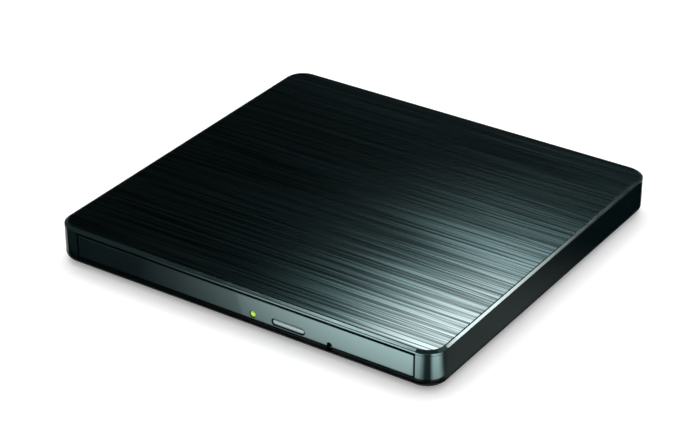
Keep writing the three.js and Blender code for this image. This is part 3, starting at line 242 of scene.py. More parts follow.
def sky_card(name, azimuths, elevations, stops, strength=1, tint=(1, 1, 1, 1)):
    """A curved card on a sphere round the drive, between two azimuths and two elevations
    in degrees: distance * (cos turn cos rise, sin turn cos rise, sin rise). Its brightness
    follows the stops from bottom to top.
    """
    columns, rows = 25, 17
    turn, rise = np.meshgrid(
        np.radians(np.linspace(*azimuths, columns)), np.radians(np.linspace(*elevations, rows))
    )
    points = card_distance * np.stack(
        [np.cos(turn) * np.cos(rise), np.sin(turn) * np.cos(rise), np.sin(rise)], -1
    )
    tree, output, _, upwards = grid_card(name, points)
    level = times(tree, ramp(tree, upwards, stops), strength)
    shade_with(tree, output, "ShaderNodeEmission", {"Color": tint, "Strength": level})


def stops_between(low, high, levels):
    """Stops of a ramp from (place, level) pairs, with the places measured from low to high."""
    return [((place - low) / (high - low), level) for place, level in levels]


dim_stops = [(0, 0.2), (1, 0.2)]
for name, azimuths, elevations in (
    ("rear_dim_card", (84, 118), (-1, 36)),
    ("right_dim_card", (20, 84), (-1, 31)),
    ("left_dim_card", (118, 250), (-1, 54)),
    ("left_upper_dim_card", (118, 192), (54, 64)),
    ("front_upper_dim_card", (212, 235), (54, 64)),
    ("right_upper_dim_card", (20, 60), (31, 39)),
    ("right_rear_dim_card", (77, 84), (31, 39)),
    ("zenith_dim_card", (0, 360), (64, 90)),
):
    sky_card(name, azimuths, elevations, dim_stops)
right_levels = [(31, 0.002), (32.2, 0.005), (33, 0.013), (33.7, 0.035), (34.5, 0.15)]
right_levels += [(35.4, 0.4), (36.3, 0.85), (38.6, 0.85), (39, 0.05)]
right_stops = stops_between(31, 39, right_levels)
sky_card("right_soft_box", (60, 77), (31, 39), right_stops, 25, (1.16, 1, 1, 1))
upper_levels = [(54, 0.008), (56, 0.012), (57.5, 0.08), (58.5, 0.36), (59.4, 1), (60.4, 0.95)]
upper_levels += [(61.6, 0.45), (64, 0.003)]
upper_stops = stops_between(54, 64, upper_levels)
sky_card("upper_soft_box", (192, 212), (54, 64), upper_stops, 18, (1.1, 1, 1, 1))

# Gradient card for the plate: it hangs where the plate mirrors the camera's view, so its
# grid is laid out in the plate's own x and y, and its glow rises to the front and right.

plate_level = 14.0
glow_left, glow_right, glow_half = -130, 150, 130
glow_columns, glow_rows = 29, 27
hung_distance = 2.4
glow_contrast, glow_strength = 1.1, 15.5

plate_x, plate_y = np.meshgrid(
    np.linspace(glow_left, glow_right, glow_columns),
    np.linspace(-glow_half, glow_half, glow_rows),
)
plate_points = np.stack([plate_x, plate_y, np.full_like(plate_x, plate_level)], -1) * 0.001
mirrored = np.array(camera_place) * [1, 1, -1] + [0, 0, 0.002 * plate_level]
aim = plate_points - mirrored
aim /= np.linalg.norm(aim, axis=-1)[..., None]
along = (plate_points * aim).sum(-1)
reach = np.sqrt(along**2 + hung_distance**2 - (plate_points**2).sum(-1)) - along
tree, output, rightwards, backwards = grid_card(
    "plate_gradient_card", plate_points + aim * reach[..., None]
)
levels_x = [(-112, 0.012), (-84, 0.0019), (-64, 0.0019), (-32, 0.0027), (-16, 0.0036)]
levels_x += [(0, 0.005), (16, 0.013), (32, 0.046), (48, 0.2), (66, 0.43), (84, 0.43)]
levels_x += [(108, 0.04), (140, 0.01)]
contrasts = [(-60, 1.0), (-45, 0.91), (-15, 0.84), (0, 0.68), (20, 0.44), (40, 0.2), (60, 0.15)]
levels_y = [(-120, 0.03), (-104, 0.1), (-84, 1.0), (-60, 1.0), (-45, 0.6), (-30, 0.45)]
levels_y += [(-15, 0.335), (0, 0.12), (20, 0.0165), (40, 0.0051), (60, 0.0049)]
levels_y += [(84, 0.006), (110, 0.03)]
glow_x = ramp(tree, rightwards, stops_between(glow_left, glow_right, levels_x))
contrast = ramp(tree, backwards, stops_between(-glow_half, glow_half, contrasts))
glow_y = ramp(tree, backwards, stops_between(-glow_half, glow_half, levels_y))
level = arithmetic(tree, "POWER", glow_x, times(tree, contrast, glow_contrast))
level = times(tree, level, glow_y, glow_strength)
tint = blend(tree, times(tree, level, 0.27), (0.6, 1, 1.03, 1), (0.93, 1, 1, 1))
shade_with(tree, output, "ShaderNodeEmission", {"Color": tint, "Strength": level})

# Card on the table: it lies in front of the drive and to its right, where the glossy
# walls look down on it, and goes from dark at the left to bright at the right.

table_card_level, table_card_strength = 0.35, 10.5
seen_half, seen_slope, seen_shift = 75, -0.662, -45.1
step_slope, step_shift, step_half = -0.985, -71.3, 0.4
step_low, step_rise = 0.8, 0.25
round_x, round_y = 64.8, -61.55
round_end, round_past = np.radians(70), np.radians(106)
card_start, card_full = 12.5, 13.1
gain_start, gain_rise = 0.345, 0.035
side_level, side_edge, side_front, side_rear = 0.021, (73.4, 74.4), -24, 42

card_glow, tree, output = blank_material("table_card")
place = add_node(tree, "ShaderNodeTexCoord")
place = add_node(
    tree,
    "ShaderNodeVectorMath",
    {0: place.outputs["Object"], 1: (1000, 1000, 1000)},
    operation="MULTIPLY",
)
place = add_node(tree, "ShaderNodeSeparateXYZ", {0: place.outputs[0]})
place_x, place_y = place.outputs[0], place.outputs[1]

# Its level follows the place on the front wall that mirrors each point to the camera.
seen_x = arithmetic(tree, "MULTIPLY_ADD", place_y, seen_slope, seen_shift)
seen_x = arithmetic(tree, "ADD", seen_x, place_x)
seen_share = arithmetic(tree, "MULTIPLY_ADD", seen_x, 1 / (2 * seen_half), 0.5)
levels = [(-62, 0.006), (-40, 0.012), (-24, 0.06), (-12, 0.13), (-1, 0.22), (10, 0.37)]
levels += [(28, 0.55), (46, 0.7), (64, 0.77)]
glow = ramp(tree, seen_share, stops_between(-seen_half, seen_half, levels))

# It steps up along a slanting line.
step_line = arithmetic(tree, "MULTIPLY_ADD", place_y, step_slope, step_shift)
step_line = arithmetic(tree, "ADD", step_line, place_x)
step_share = steps_between(tree, step_line, -step_half, step_half)
step_gain = arithmetic(tree, "MULTIPLY_ADD", step_share, step_rise, step_low)

# Past the corner it follows the direction from the centre of the corner's rounding.
past_x = arithmetic(tree, "SUBTRACT", place_x, round_x)
past_y = arithmetic(tree, "MULTIPLY_ADD", place_y, -1, round_y)
direction = arithmetic(tree, "ARCTAN2", past_x, past_y)
round_share = arithmetic(tree, "MULTIPLY_ADD", direction, 1 / np.pi, 0.5)
levels = [(-23, 1), (-19, 0.78), (0, 0.72), (22, 0.04), (42, 0.03), (56, 0.85), (70, 0.85)]
corner_glow = ramp(tree, round_share, [(0.5 + turn / 180, level) for turn, level in levels])
beyond = steps_between(tree, direction, round_end, round_past)
corner_glow = times(tree, corner_glow, arithmetic(tree, "SUBTRACT", 1, beyond))

# It begins a little way out from the wall and grows with the distance.
out_x = arithmetic(tree, "MAXIMUM", past_x, 0)
out_y = arithmetic(tree, "MAXIMUM", past_y, 0)
squares = [times(tree, out, out) for out in (out_y, out_x)]
distance = arithmetic(tree, "SQRT", arithmetic(tree, "ADD", *squares))
begun = steps_between(tree, distance, card_start, card_full)
far_gain = arithmetic(tree, "MULTIPLY_ADD", distance, gain_rise, gain_start)
glow = times(tree, glow, step_gain, corner_glow, begun, far_gain)

# Along the right wall it keeps a faint glow that fades to the rear.
faded = steps_between(tree, place_y, side_front, side_rear)
side_share = arithmetic(tree, "SUBTRACT", 1, faded)
side_start = steps_between(tree, place_x, *side_edge)
side_glow = times(tree, side_share, side_level, side_start, beyond)
strength = times(tree, arithmetic(tree, "ADD", glow, side_glow), table_card_strength)
glow = add_node(tree, "ShaderNodeEmission", {"Strength": strength})
one_sided(tree, glow.outputs[0], output)
for name, x0, x1, y0, y1 in (
    ("front_table_card", -95, 98, -94, -69),
    ("right_table_card", 72.3, 98, -69, 86),
):
    outline = [(x0, y0), (x1, y0), (x1, y1), (x0, y1)]
    points = np.array([(x, y, table_card_level) for x, y in outline]) * 0.001
    only_in_gloss(stage_mesh(name, points, [(0, 1, 2, 3)], card_glow))

# Bottom cover: one moulding in black, lightly textured plastic, with an upturned lip
# across the front, ribs under the drive, and seats for the four screws and four feet.

case_half_x, case_half_y, corner_radius = 72.0, 68.75, 7.2
straight_x = case_half_x - corner_radius
case_bottom, floor_top, lip_middle, lip_top = 1.0, 2.0, 3.75, 4.1
front_y = -case_half_y
under_edge = 2.4
wall = 1.5
ramp_start, ramp_run = front_y + 3.5, 6.0
notch_x, notch_half, notch_level = 34.5, 0.8, 2.5
before_notch, in_notch, past_notch = 40, 5, 14
screw_x, screw_y, screw_hole, screw_seat = 67.2, 59.25, 1.75, 2.2
foot_x, foot_y, foot_hole, foot_well = 58.0, 54.0, 5.15, 1.5
drive_x = 0.85
rooted = 1.9
rib_half_x, rib_y, rib_half_y, rib_top = 55, 45, 1, 2.7
board_post_x, board_post_y = 43, 62.6
board_post = [(2, rooted), (2, 4.4), (1.9, 4.5)]
cheek_near, cheek_far, cheek_y, cheek_half, cheek_top = 64.05, 64.95, 30, 5, 8.0
screw_boss = [(2.4, rooted), (2.4, 2.9), (2.3, 3.0)]


def mould(name, parts, material, body, nodes, sharp=40.0, outward=False):
    """One piece from parts of (points in millimetres, faces), welded where they meet,
    smooth but for the edges that turn by more than the sharp angle.
    """
    points, faces, count = [], [], 0
    for part_points, part_faces in parts:
        part_points = np.asarray(part_points, float).reshape(-1, 3)
        points.append(part_points)
        faces += [[count + i for i in face] for face in part_faces]
        count += len(part_points)
    mesh = bpy.data.meshes.new(name)
    mesh.from_pydata((np.concatenate(points) * 0.001).tolist(), [], faces)
    working = bmesh.new()
    working.from_mesh(mesh)
    bmesh.ops.remove_doubles(working, verts=working.verts, dist=2e-6)
    bmesh.ops.dissolve_degenerate(working, edges=working.edges, dist=2e-6)
    if outward:
        bmesh.ops.recalc_face_normals(working, faces=working.faces)
    working.to_mesh(mesh)
    working.free()
    mesh.polygons.foreach_set("use_smooth", np.ones(len(mesh.polygons), bool))
    mesh.set_sharp_from_angle(angle=np.radians(sharp))
    mesh.materials.append(material)
    piece = bpy.data.objects.new(name, mesh)
    bpy.context.scene.collection.objects.link(piece)
    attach(piece, body)
    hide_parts(*nodes)


def woven(rings, wrap=True, flip=False):
    """Quads between neighbouring rings of points, each ring closed on itself if wrap."""
    rings = np.asarray(rings, float)
    rows, columns = rings.shape[:2]
    i = np.arange(rows - 1)[:, None] * columns
    j = np.arange(columns if wrap else columns - 1)
    after = (j + 1) % columns
    quads = np.stack([i + j, i + after, i + columns + after, i + columns + j], -1)
    quads = quads.reshape(-1, 4)
    if flip:
        quads = quads[:, ::-1]
    return rings.reshape(-1, 3), quads.tolist()


def filled(outer, holes=(), flip=False):
    """A flat face inside a closed loop of points, with holes, cut into triangles."""
    loops = [np.asarray(loop, float) for loop in (outer, *holes)]
    triangles = tessellate_polygon([[Vector(p) for p in loop] for loop in loops])
    points = np.concatenate(loops)
    a, b, c = (points[[t[k] for t in triangles]] for k in range(3))
    area = np.cross(b - a, c - a).sum(0)
    turned_up = area[np.argmax(np.abs(area))] > 0
    if turned_up == flip:
        triangles = [t[::-1] for t in triangles]
    return points, [list(t) for t in triangles]


def circle(x, y, radius, count=32):
    """Points round a circle, anticlockwise, as (x, y): centre + radius * (cosine, sine)."""
    turn = np.arange(count) * 2 * np.pi / count
    return np.stack([x + radius * np.cos(turn), y + radius * np.sin(turn)], -1)


def at_level(loop, z):
    """A loop of (x, y) at one height."""
    return np.column_stack([loop, np.full(len(loop), z)])


def circles(x, y, profile, count=24):
    """A ring round a vertical axis for each (radius, z) of a profile."""
    return [at_level(circle(x, y, radius, count), z) for radius, z in profile]


def turned(x, y, profile, count=32):
    """A profile of (radius, z) carried round a vertical axis, from its lower end up on the
    outside, with its open ends closed by flat faces.
    """
    rings = circles(x, y, profile, count)
    parts = [woven(rings)]
    if profile[0][0] > 0.01:
        parts.append(filled(rings[0], flip=True))
    if profile[-1][0] > 0.01:
        parts.append(filled(rings[-1]))
    return parts


def block(x0, x1, y0, y1, z0, z1, edge=0.15):
    """A box from four rings of eight points: its upright edges and its upper and lower rims
    are cut back by a small chamfer.
    """
    rings = []
    for inset, z in ((edge, z0), (0, z0 + edge), (0, z1 - edge), (edge, z1)):
        left, right, near, far = x0 + inset, x1 - inset, y0 + inset, y1 - inset
        ring = [
            (left + edge, near),
            (right - edge, near),
            (right, near + edge),
            (right, far - edge),
            (right - edge, far),
            (left + edge, far),
            (left, far - edge),
            (left, near + edge),
        ]
        rings.append(at_level(np.array(ring), z))
    return [woven(rings), filled(rings[0], flip=True), filled(rings[-1])]


def rim_columns(front_x, rear_x=(), first_corner=()):
    """Columns round a rounded rectangle, anticlockwise from its front left: for each, a core
    point on the inner rectangle and the direction outwards. A point at an inset lies at
    core + (radius - inset) * outward.
    """
    core_x, core_y = case_half_x - corner_radius, case_half_y - corner_radius
    side_steps, corner_steps = 25, 13
    side_y = np.linspace(-core_y, core_y, side_steps)
    sides = [
        (np.array(front_x), -core_y, 0, -1),
        (core_x, side_y, 1, 0),
        (np.array(rear_x)[::-1], core_y, 0, 1),
        (-core_x, -side_y, -1, 0),
    ]
    cores, outs = [], []
    for quarter, (x, y, out_x, out_y) in enumerate(sides):
        x, y = np.broadcast_arrays(np.asarray(x, float), np.asarray(y, float))
        cores.append(np.stack([x, y], -1))
        outs.append(np.tile([float(out_x), float(out_y)], (len(x), 1)))
        turn = np.radians(np.linspace(0, 90, corner_steps)[1:-1])
        if quarter == 0 and len(first_corner):
            turn = np.radians(first_corner)
        start = np.radians(-90 + 90 * quarter)
        outs.append(np.stack([np.cos(start + turn), np.sin(start + turn)], -1))
        sign_x, sign_y = [(1, -1), (1, 1), (-1, 1), (-1, -1)][quarter]
        cores.append(np.tile([sign_x * core_x, sign_y * core_y], (len(turn), 1)))
    return np.concatenate(cores), np.concatenate(outs)


def rim_point(cores, outs, inset, z):
    """The points of all columns at one inset and height, each a number or one per column."""
    inset = np.broadcast_to(np.asarray(inset, float), len(cores))
    z = np.broadcast_to(np.asarray(z, float), len(cores))
    flat = cores + (corner_radius - inset)[:, None] * outs
    return np.column_stack([flat, z])


def under_inset(z):
    """How far the rounded lower edge lies in at a height. It is a quarter circle up from the
    floor: edge * (1 - root of (1 - (1 - rise) squared)), with the rise as a share of the edge.
    """
    rise = np.clip((np.asarray(z, float) - case_bottom) / under_edge, 0, 1)
    return under_edge * (1 - np.sqrt(1 - (1 - rise) ** 2))


def seam_level(y):
    """Height of the bottom cover's edge: high across the front, then a ramp down behind."""
    fall = np.clip((y - ramp_start) / ramp_run, 0, 1)
    return lip_top + (floor_top - lip_top) * fall


def noise_between(tree, noise, low, high):
    """A noise's usual span, 0.3 to 0.7, carried over in proportion to low to high."""
    made = add_node(
        tree,
        "ShaderNodeMapRange",
        {"Value": noise, "From Min": 0.3, "From Max": 0.7, "To Min": low, "To Max": high},
    )
    return made.outputs[0]


def finish(
    name,
    colour,
    roughness,
    metallic=0.0,
    mottle=0.12,
    mottle_size=8.0,
    vary=0.06,
    vary_size=5.0,
    grain=0.35,
    grain_height=0.01,
    stretch=(1, 1, 1),
    **sockets,
):
    """A Principled material on Object coordinates. Three noises give its colour variation,
    its changes of roughness and its surface grain; their sizes and the grain's height are
    in millimetres, and stretch draws all three out along an axis.
    """
    material, tree, output = blank_material(name)
    place = add_node(tree, "ShaderNodeTexCoord")
    drawn = add_node(
        tree,
        "ShaderNodeMapping",
        {"Vector": place.outputs["Object"], "Scale": [1000 / s for s in stretch]},
    )

    def cloud(size, detail=3.0):
        made = add_node(
            tree,
            "ShaderNodeTexNoise",
            {"Vector": drawn.outputs[0], "Scale": 1 / size, "Detail": detail, "Roughness": 0.6},
        )
        return made.outputs["Fac"]

    shades = [[min(1.0, c * s) for c in colour] + [1] for s in (1 - mottle, 1 + mottle)]
    mixed = blend(tree, steps_between(tree, cloud(mottle_size), 0.3, 0.7), *shades)
    smoothest, roughest = max(0.02, roughness - vary), min(1.0, roughness + vary)
    worn = noise_between(tree, cloud(vary_size), smoothest, roughest)
    bump = add_node(
        tree,
        "ShaderNodeBump",
        {"Height": cloud(grain, 2.0), "Distance": grain_height * 0.001, "Strength": 1.0},
    )
    principled(
        tree,
        output,
        base_color=mixed,
        roughness=worn,
        metallic=metallic,
        normal=bump.outputs[0],
        **sockets,
    )
    return material


black_moulding = finish(
    "black_moulding",
    (0.003, 0.0045, 0.0045),
    0.18,
    vary=0.03,
    grain=0.3,
    grain_height=0.003,
    specular_ior_level=0.2,
)

front_stations = np.concatenate(
    [
        np.linspace(-straight_x, notch_x - notch_half, before_notch),
        np.linspace(notch_x - notch_half, notch_x + notch_half, in_notch),
        np.linspace(notch_x + notch_half, straight_x, past_notch),
    ]
)
cores, outs = rim_columns(front_stations, np.linspace(-straight_x, straight_x, 20))
edge_level = seam_level(rim_point(cores, outs, 0, 0)[:, 1])
edge_level[before_notch : before_notch + in_notch] = notch_level
under_turn = np.radians(np.arange(0, 91, 9))
under_levels = case_bottom + under_edge * (1 - np.cos(under_turn))
rings = []
for level in sorted([*under_levels, floor_top, notch_level, lip_middle, lip_top]):
    z = np.minimum(level, edge_level)
    rings.append(rim_point(cores, outs, under_inset(z), z))
rings.append(rim_point(cores, outs, wall, edge_level))
rings.append(rim_point(cores, outs, wall, floor_top))
quarters = [(sx, sy) for sx in (-1, 1) for sy in (-1, 1)]
screw_holes = [circle(sx * screw_x, sy * screw_y, screw_hole, 24) for sx, sy in quarters]
foot_holes = [circle(sx * foot_x, sy * foot_y, foot_hole, 48) for sx, sy in quarters]
under_holes = [at_level(loop, case_bottom) for loop in screw_holes + foot_holes]
parts = [woven(rings), filled(rings[0], under_holes, flip=True), filled(rings[-1])]
for loops, seat in ((screw_holes, screw_seat), (foot_holes, foot_well)):
    for loop in loops:
        parts.append(woven([at_level(loop, case_bottom), at_level(loop, seat)], flip=True))
        parts.append(filled(at_level(loop, seat), flip=True))
for end in (-1, 1):
    rib_ends = drive_x - rib_half_x, drive_x + rib_half_x
    parts += block(*rib_ends, end * rib_y - rib_half_y, end * rib_y + rib_half_y, rooted, rib_top)
    parts += turned(end * board_post_x, board_post_y, board_post)
    for side in (-1, 1):
        cheek_ends = sorted((drive_x + side * cheek_near, drive_x + side * cheek_far))
        cheek_reach = end * cheek_y - cheek_half, end * cheek_y + cheek_half
        parts += block(*cheek_ends, *cheek_reach, rooted, cheek_top)
        parts += turned(side * screw_x, end * screw_y, screw_boss)
mould("bottom_shell", parts, black_moulding, "case", ["bottom_cover"], 30)

# Drive pan and lid: folded and stamped sheet steel, the disc drive's own body, which the
# case holds. They and all that lies hidden in them keep their CAD forms.

# A node group merges a CAD part's loose triangles and shades it smooth, but for the edges
# that turn by more than 30 degrees.
smoothing = bpy.data.node_groups.new("smooth_by_angle", "GeometryNodeTree")
for in_out in ("INPUT", "OUTPUT"):
    smoothing.interface.new_socket("Mesh", in_out=in_out, socket_type="NodeSocketGeometry")
given = add_node(smoothing, "NodeGroupInput")
merged = add_node(
    smoothing, "GeometryNodeMergeByDistance", {"Geometry": given.outputs[0], "Distance": 2e-6}
)
turn = add_node(smoothing, "GeometryNodeInputMeshEdgeAngle")
sharp = add_node(
    smoothing,
    "FunctionNodeCompare",
    {0: turn.outputs[0], 1: np.radians(30)},
    data_type="FLOAT",
    operation="GREATER_THAN",
)
smooth = add_node(
    smoothing,
    "GeometryNodeSetShadeSmooth",
    {"Geometry": merged.outputs[0], "Shade Smooth": True},
    domain="FACE",
)
edged = add_node(
    smoothing,
    "GeometryNodeSetShadeSmooth",
    {"Geometry": smooth.outputs[0], "Selection": sharp.outputs[0], "Shade Smooth": False},
    domain="EDGE",
)
add_node(smoothing, "NodeGroupOutput", {0: edged.outputs[0]})


def dress(material, *names):
    """Gives CAD nodes a material and smooth round faces."""
    for name in names:
        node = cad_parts[name]
        node.data.materials.clear()
        node.data.materials.append(material)
        node.modifiers.new("smooth_by_angle", "NODES").node_group = smoothing


sheet_steel = finish(
    "sheet_steel",
    (0.42, 0.43, 0.43),
    0.36,
    1.0,
    mottle=0.08,
    grain=0.5,
    grain_height=0.004,
    stretch=(6, 1, 1),
)
dress(sheet_steel, "drive_pan", "drive_lid")

# Slide rails: zinc-plated steel strips that run in black plastic guides along the pan's
# sides. A post of the same steel stands in the pan for the latch.

zinc_steel = finish("zinc_steel", (0.55, 0.56, 0.56), 0.3, 1.0, mottle=0.08, grain_height=0.005)
guide_plastic = finish("guide_plastic", (0.025, 0.027, 0.026), 0.45)
dress(guide_plastic, "rail_guide_left", "rail_guide_right")
dress(zinc_steel, "slide_rail_left", "slide_rail_right", "latch_post")

# Rear bay: a small green circuit board behind the pan, with its chip and a socket of
# plated steel round a black plastic tongue, both soldered to it.

circuit_board = finish("circuit_board", (0.02, 0.09, 0.035), 0.35, mottle=0.3, mottle_size=2.5)
chip_black = finish("chip_black", (0.018, 0.018, 0.02), 0.5)
dress(circuit_board, "bridge_board")
dress(chip_black, "bridge_chip", "usb_tongue")
dress(zinc_steel, "usb_socket")

# Flex cable: one loop of amber film over copper tracks, from an ivory plastic connector
# in the pan to the underside of the tray.

flex_film = finish(
    "flex_film", (0.36, 0.15, 0.03), 0.4, mottle=0.2, stretch=(1, 12, 1), grain_height=0.004
)
ivory_plastic = finish("ivory_plastic", (0.66, 0.61, 0.5), 0.42)
dress(flex_film, "flex_cable")
dress(ivory_plastic, "flex_connector")

# Disc tray: a moulding in black plastic with a recess for the disc on top, closed below
# by a stamped steel cover.

tray_plastic = finish("tray_plastic", (0.012, 0.013, 0.013), 0.38, grain=0.4, grain_height=0.015)
dress(tray_plastic, "disc_tray")
dress(sheet_steel, "tray_under_cover")

# Control board: a green board fixed under the tray's ceiling, with a chip, the switch
# behind the button and the lamp behind the light.

switch_grey = finish("switch_grey", (0.2, 0.2, 0.21), 0.5)
dress(circuit_board, "control_board")
dress(chip_black, "servo_chip")
dress(switch_grey, "eject_switch")
dress(ivory_plastic, "led_lamp")

# Tray release: an ivory plastic hook that a copper-wound solenoid pulls off the pan's
# post, and a plunger on a steel spring that then pushes the tray out.

coil_copper = finish("coil_copper", (0.5, 0.2, 0.08), 0.35, 0.8, stretch=(1, 1, 12), grain=0.2)
dress(ivory_plastic, "latch_hook", "kick_plunger")
dress(coil_copper, "solenoid_coil")
dress(zinc_steel, "solenoid_plunger", "kick_spring")

# Traverse: a deck and its cover in sheet steel, hung in the tray on three rubber dampers,
# with two plated rods to guide the pickup, and a motor and lead screw to move it.

rubber = finish("rubber", (0.012, 0.012, 0.012), 0.75, grain=0.25, grain_height=0.03)
dress(sheet_steel, "traverse_deck", "traverse_cover", "sled_bracket")
dress(rubber, "deck_damper_1", "deck_damper_2", "deck_damper_3")
dress(zinc_steel, "main_guide_rod", "second_guide_rod", "sled_motor", "lead_screw")

# Pickup: a grey casting that slides on both rods, with an ivory plastic rack on its arm,
# and a lens in a black holder that moves in the casting's well.

pickup_casting = finish("pickup_casting", (0.32, 0.33, 0.34), 0.45, 0.9, grain=0.25)
lens_glass = finish("lens_glass", (0.05, 0.09, 0.16), 0.06, coat_weight=1.0)
dress(pickup_casting, "pickup_body")
dress(ivory_plastic, "sled_rack")
dress(chip_black, "lens_holder")
dress(lens_glass, "objective_lens")

# Spindle: a flat motor on the deck, with a black plastic turntable, a rubber ring under
# the disc, and three sprung ivory claws that hold the disc by its hole.

motor_grey = finish("motor_grey", (0.3, 0.31, 0.32), 0.4, 0.7)
dress(motor_grey, "spindle_base")
dress(chip_black, "turntable")
dress(rubber, "turntable_pad")
dress(ivory_plastic, "disc_claw_1", "disc_claw_2", "disc_claw_3")

# Tray front: a thin moulding in glossy black, hollow behind, with a long hole for the
# button, a round one for the light and a notch below for the emergency release.

bezel_half, bezel_bottom, bezel_top = 63.6, 4.3, 12.1
bezel_rear, bezel_inner = front_y + 2.8, front_y + 1.3
bezel_wall, bezel_corner = 1.2, 0.5
bezel_edge, bezel_lead, hole_edge, hole_lead = 0.25, 0.31, 0.12, 0.17
button_x, button_z, pill_z = 19.38, 6.05, 6.12
button_hole_length, button_hole_height = 12.4, 2.4
light_x, light_z, light_hole_radius = 6.11, 6.13, 1.15
notch_roof, rim_foot = 4.9, bezel_bottom + 0.4


def front_loop(loop, y):
    """A loop of (x, z) set upright at one depth."""
    loop = np.asarray(loop, float)
    return np.column_stack([loop[:, 0], np.full(len(loop), y), loop[:, 1]])


def grown(loop, by):
    """A closed loop moved outwards: each point goes along the mean of its two edges' normals,
    lengthened so that the edges stay parallel. The loop runs anticlockwise.
    """
    loop = np.asarray(loop, float)
    ahead = np.roll(loop, -1, 0) - loop
    ahead /= np.linalg.norm(ahead, axis=1)[:, None]
    behind = np.roll(ahead, 1, 0)
    normal = np.stack([ahead[:, 1] + behind[:, 1], -ahead[:, 0] - behind[:, 0]], -1)
    length = np.linalg.norm(normal, axis=1)
    return loop + by * normal * (2 / length**2)[:, None]


def stadium(width, height, x, z, count=13):
    """A rectangle with half-round ends, anticlockwise: half a circle about the centre of the
    right end, then the same half turned round about the centre of the left one.
    """
    radius, reach = height / 2, (width - height) / 2
    turn = np.linspace(-np.pi / 2, np.pi / 2, count)
    right = np.stack([x + reach + radius * np.cos(turn), z + radius * np.sin(turn)], -1)
    left = np.stack([x - reach - radius * np.cos(turn), z - radius * np.sin(turn)], -1)
    return np.concatenate([right, left])


def corner_arc(x, z, radius, start, count=6):
    """A quarter circle from a start angle in degrees, anticlockwise: its centre + radius *
    (cosine, sine).
    """
    turn = np.radians(start + np.linspace(0, 90, count))
    return np.stack([x + radius * np.cos(turn), z + radius * np.sin(turn)], -1)


def eased_edge(edge, lead):
    """Steps of (inset, y) from the front face back over a rounded edge: a flat lead, then
    a quarter circle, with inset edge * (1 - sine) at depth edge * (1 - cosine).
    """
    turn = np.radians(np.linspace(0, 90, 5))
    depths = front_y + edge * (1 - np.cos(turn))
    return [(lead, front_y), *zip(edge * (1 - np.sin(turn)), depths)]


gloss_shell = finish(
    "gloss_shell",
    (0.003, 0.0085, 0.009),
    0.1,
    mottle=0.1,
    vary=0.02,
    grain=4.0,
    grain_height=0.0015,
    specular_tint=(0.62, 1.0, 0.99, 1.0),
)

left, right = drive_x - bezel_half, drive_x + bezel_half
around = np.concatenate(
    [
        [(notch_x + notch_half, bezel_bottom)],
        corner_arc(right - bezel_corner, bezel_bottom + bezel_corner, bezel_corner, -90),
        corner_arc(right - bezel_corner, bezel_top - bezel_corner, bezel_corner, 0),
        corner_arc(left + bezel_corner, bezel_top - bezel_corner, bezel_corner, 90),
        corner_arc(left + bezel_corner, bezel_bottom + bezel_corner, bezel_corner, 180),
        [(notch_x - notch_half, bezel_bottom)],
    ]
)
arch = np.linspace(np.pi, 0, 13)
notch = np.concatenate(
    [
        [(notch_x - notch_half, rim_foot)],
        np.stack([notch_x + notch_half * np.cos(arch), notch_roof + notch_half * np.sin(arch)], -1),
        [(notch_x + notch_half, rim_foot)],
    ]
)
outline = np.concatenate([around, notch])
inner = np.array(
    [
        (notch_x - notch_half, rim_foot),
        (left + bezel_wall, rim_foot),
        (left + bezel_wall, bezel_top - bezel_wall),
        (right - bezel_wall, bezel_top - bezel_wall),
        (right - bezel_wall, rim_foot),
        (notch_x + notch_half, rim_foot),
    ]
)
button_hole = stadium(button_hole_length, button_hole_height, button_x, pill_z)
light_hole = circle(light_x, light_z, light_hole_radius, 28)
edge_steps = eased_edge(bezel_edge, bezel_lead)
rings = [front_loop(grown(outline, -inset), y) for inset, y in edge_steps]
rings.append(front_loop(outline, bezel_inner))
hole_steps = eased_edge(hole_edge, hole_lead)
hole_rings = [
    [front_loop(grown(loop, out), y) for out, y in hole_steps] + [front_loop(loop, bezel_inner)]
    for loop in (button_hole, light_hole)
]
parts = [
    woven(rings, flip=True),
    filled(rings[0], [loops[0] for loops in hole_rings]),
    *[woven(loops) for loops in hole_rings],
    *[
        woven([front_loop(loop, y) for y in (bezel_inner, bezel_rear)], wrap=False, flip=True)
        for loop in (around, inner)
    ],
    filled(front_loop(np.concatenate([around, inner]), bezel_rear)),
    filled(
        front_loop(np.concatenate([inner[::-1], notch[1:-1]]), bezel_inner),
        [loops[-1] for loops in hole_rings],
    ),
]
for side in (-1, 1):
    x = notch_x + side * notch_half
    cheek = [(x, bezel_inner, bezel_bottom), (x, bezel_rear, bezel_bottom)]
    cheek += [(x, bezel_rear, rim_foot), (x, bezel_inner, rim_foot)]
    parts.append((cheek, [[0, 1, 2, 3]]))
mould("tray_front", parts, gloss_shell, "tray", ["tray_bezel"], outward=True)

# Eject button: a silver pill in the long hole, with a flange behind the front and a stem
# that reaches back to the switch.

silver_button = finish(
    "silver_button", (0.32, 0.43, 0.45), 0.2, mottle=0.06, grain=0.2, grain_height=0.002
)

pill_length, pill_height, pill_back = 11.7, 1.75, 0.1
flange_half, flange_low, flange_high = 7.2, 1.1, 2.15
stem_half_x, stem_half_z = 1.2, 0.85
flange_front, flange_rear, stem_rear = front_y + 1.4, front_y + 2.15, front_y + 4.5


def rectangle(x, z, half, low, high):
    """A rectangle's corners, anticlockwise, from x - half to x + half, z - low to z + high."""
    return np.array(
        [(x - half, z - low), (x + half, z - low), (x + half, z + high), (x - half, z + high)]
    )


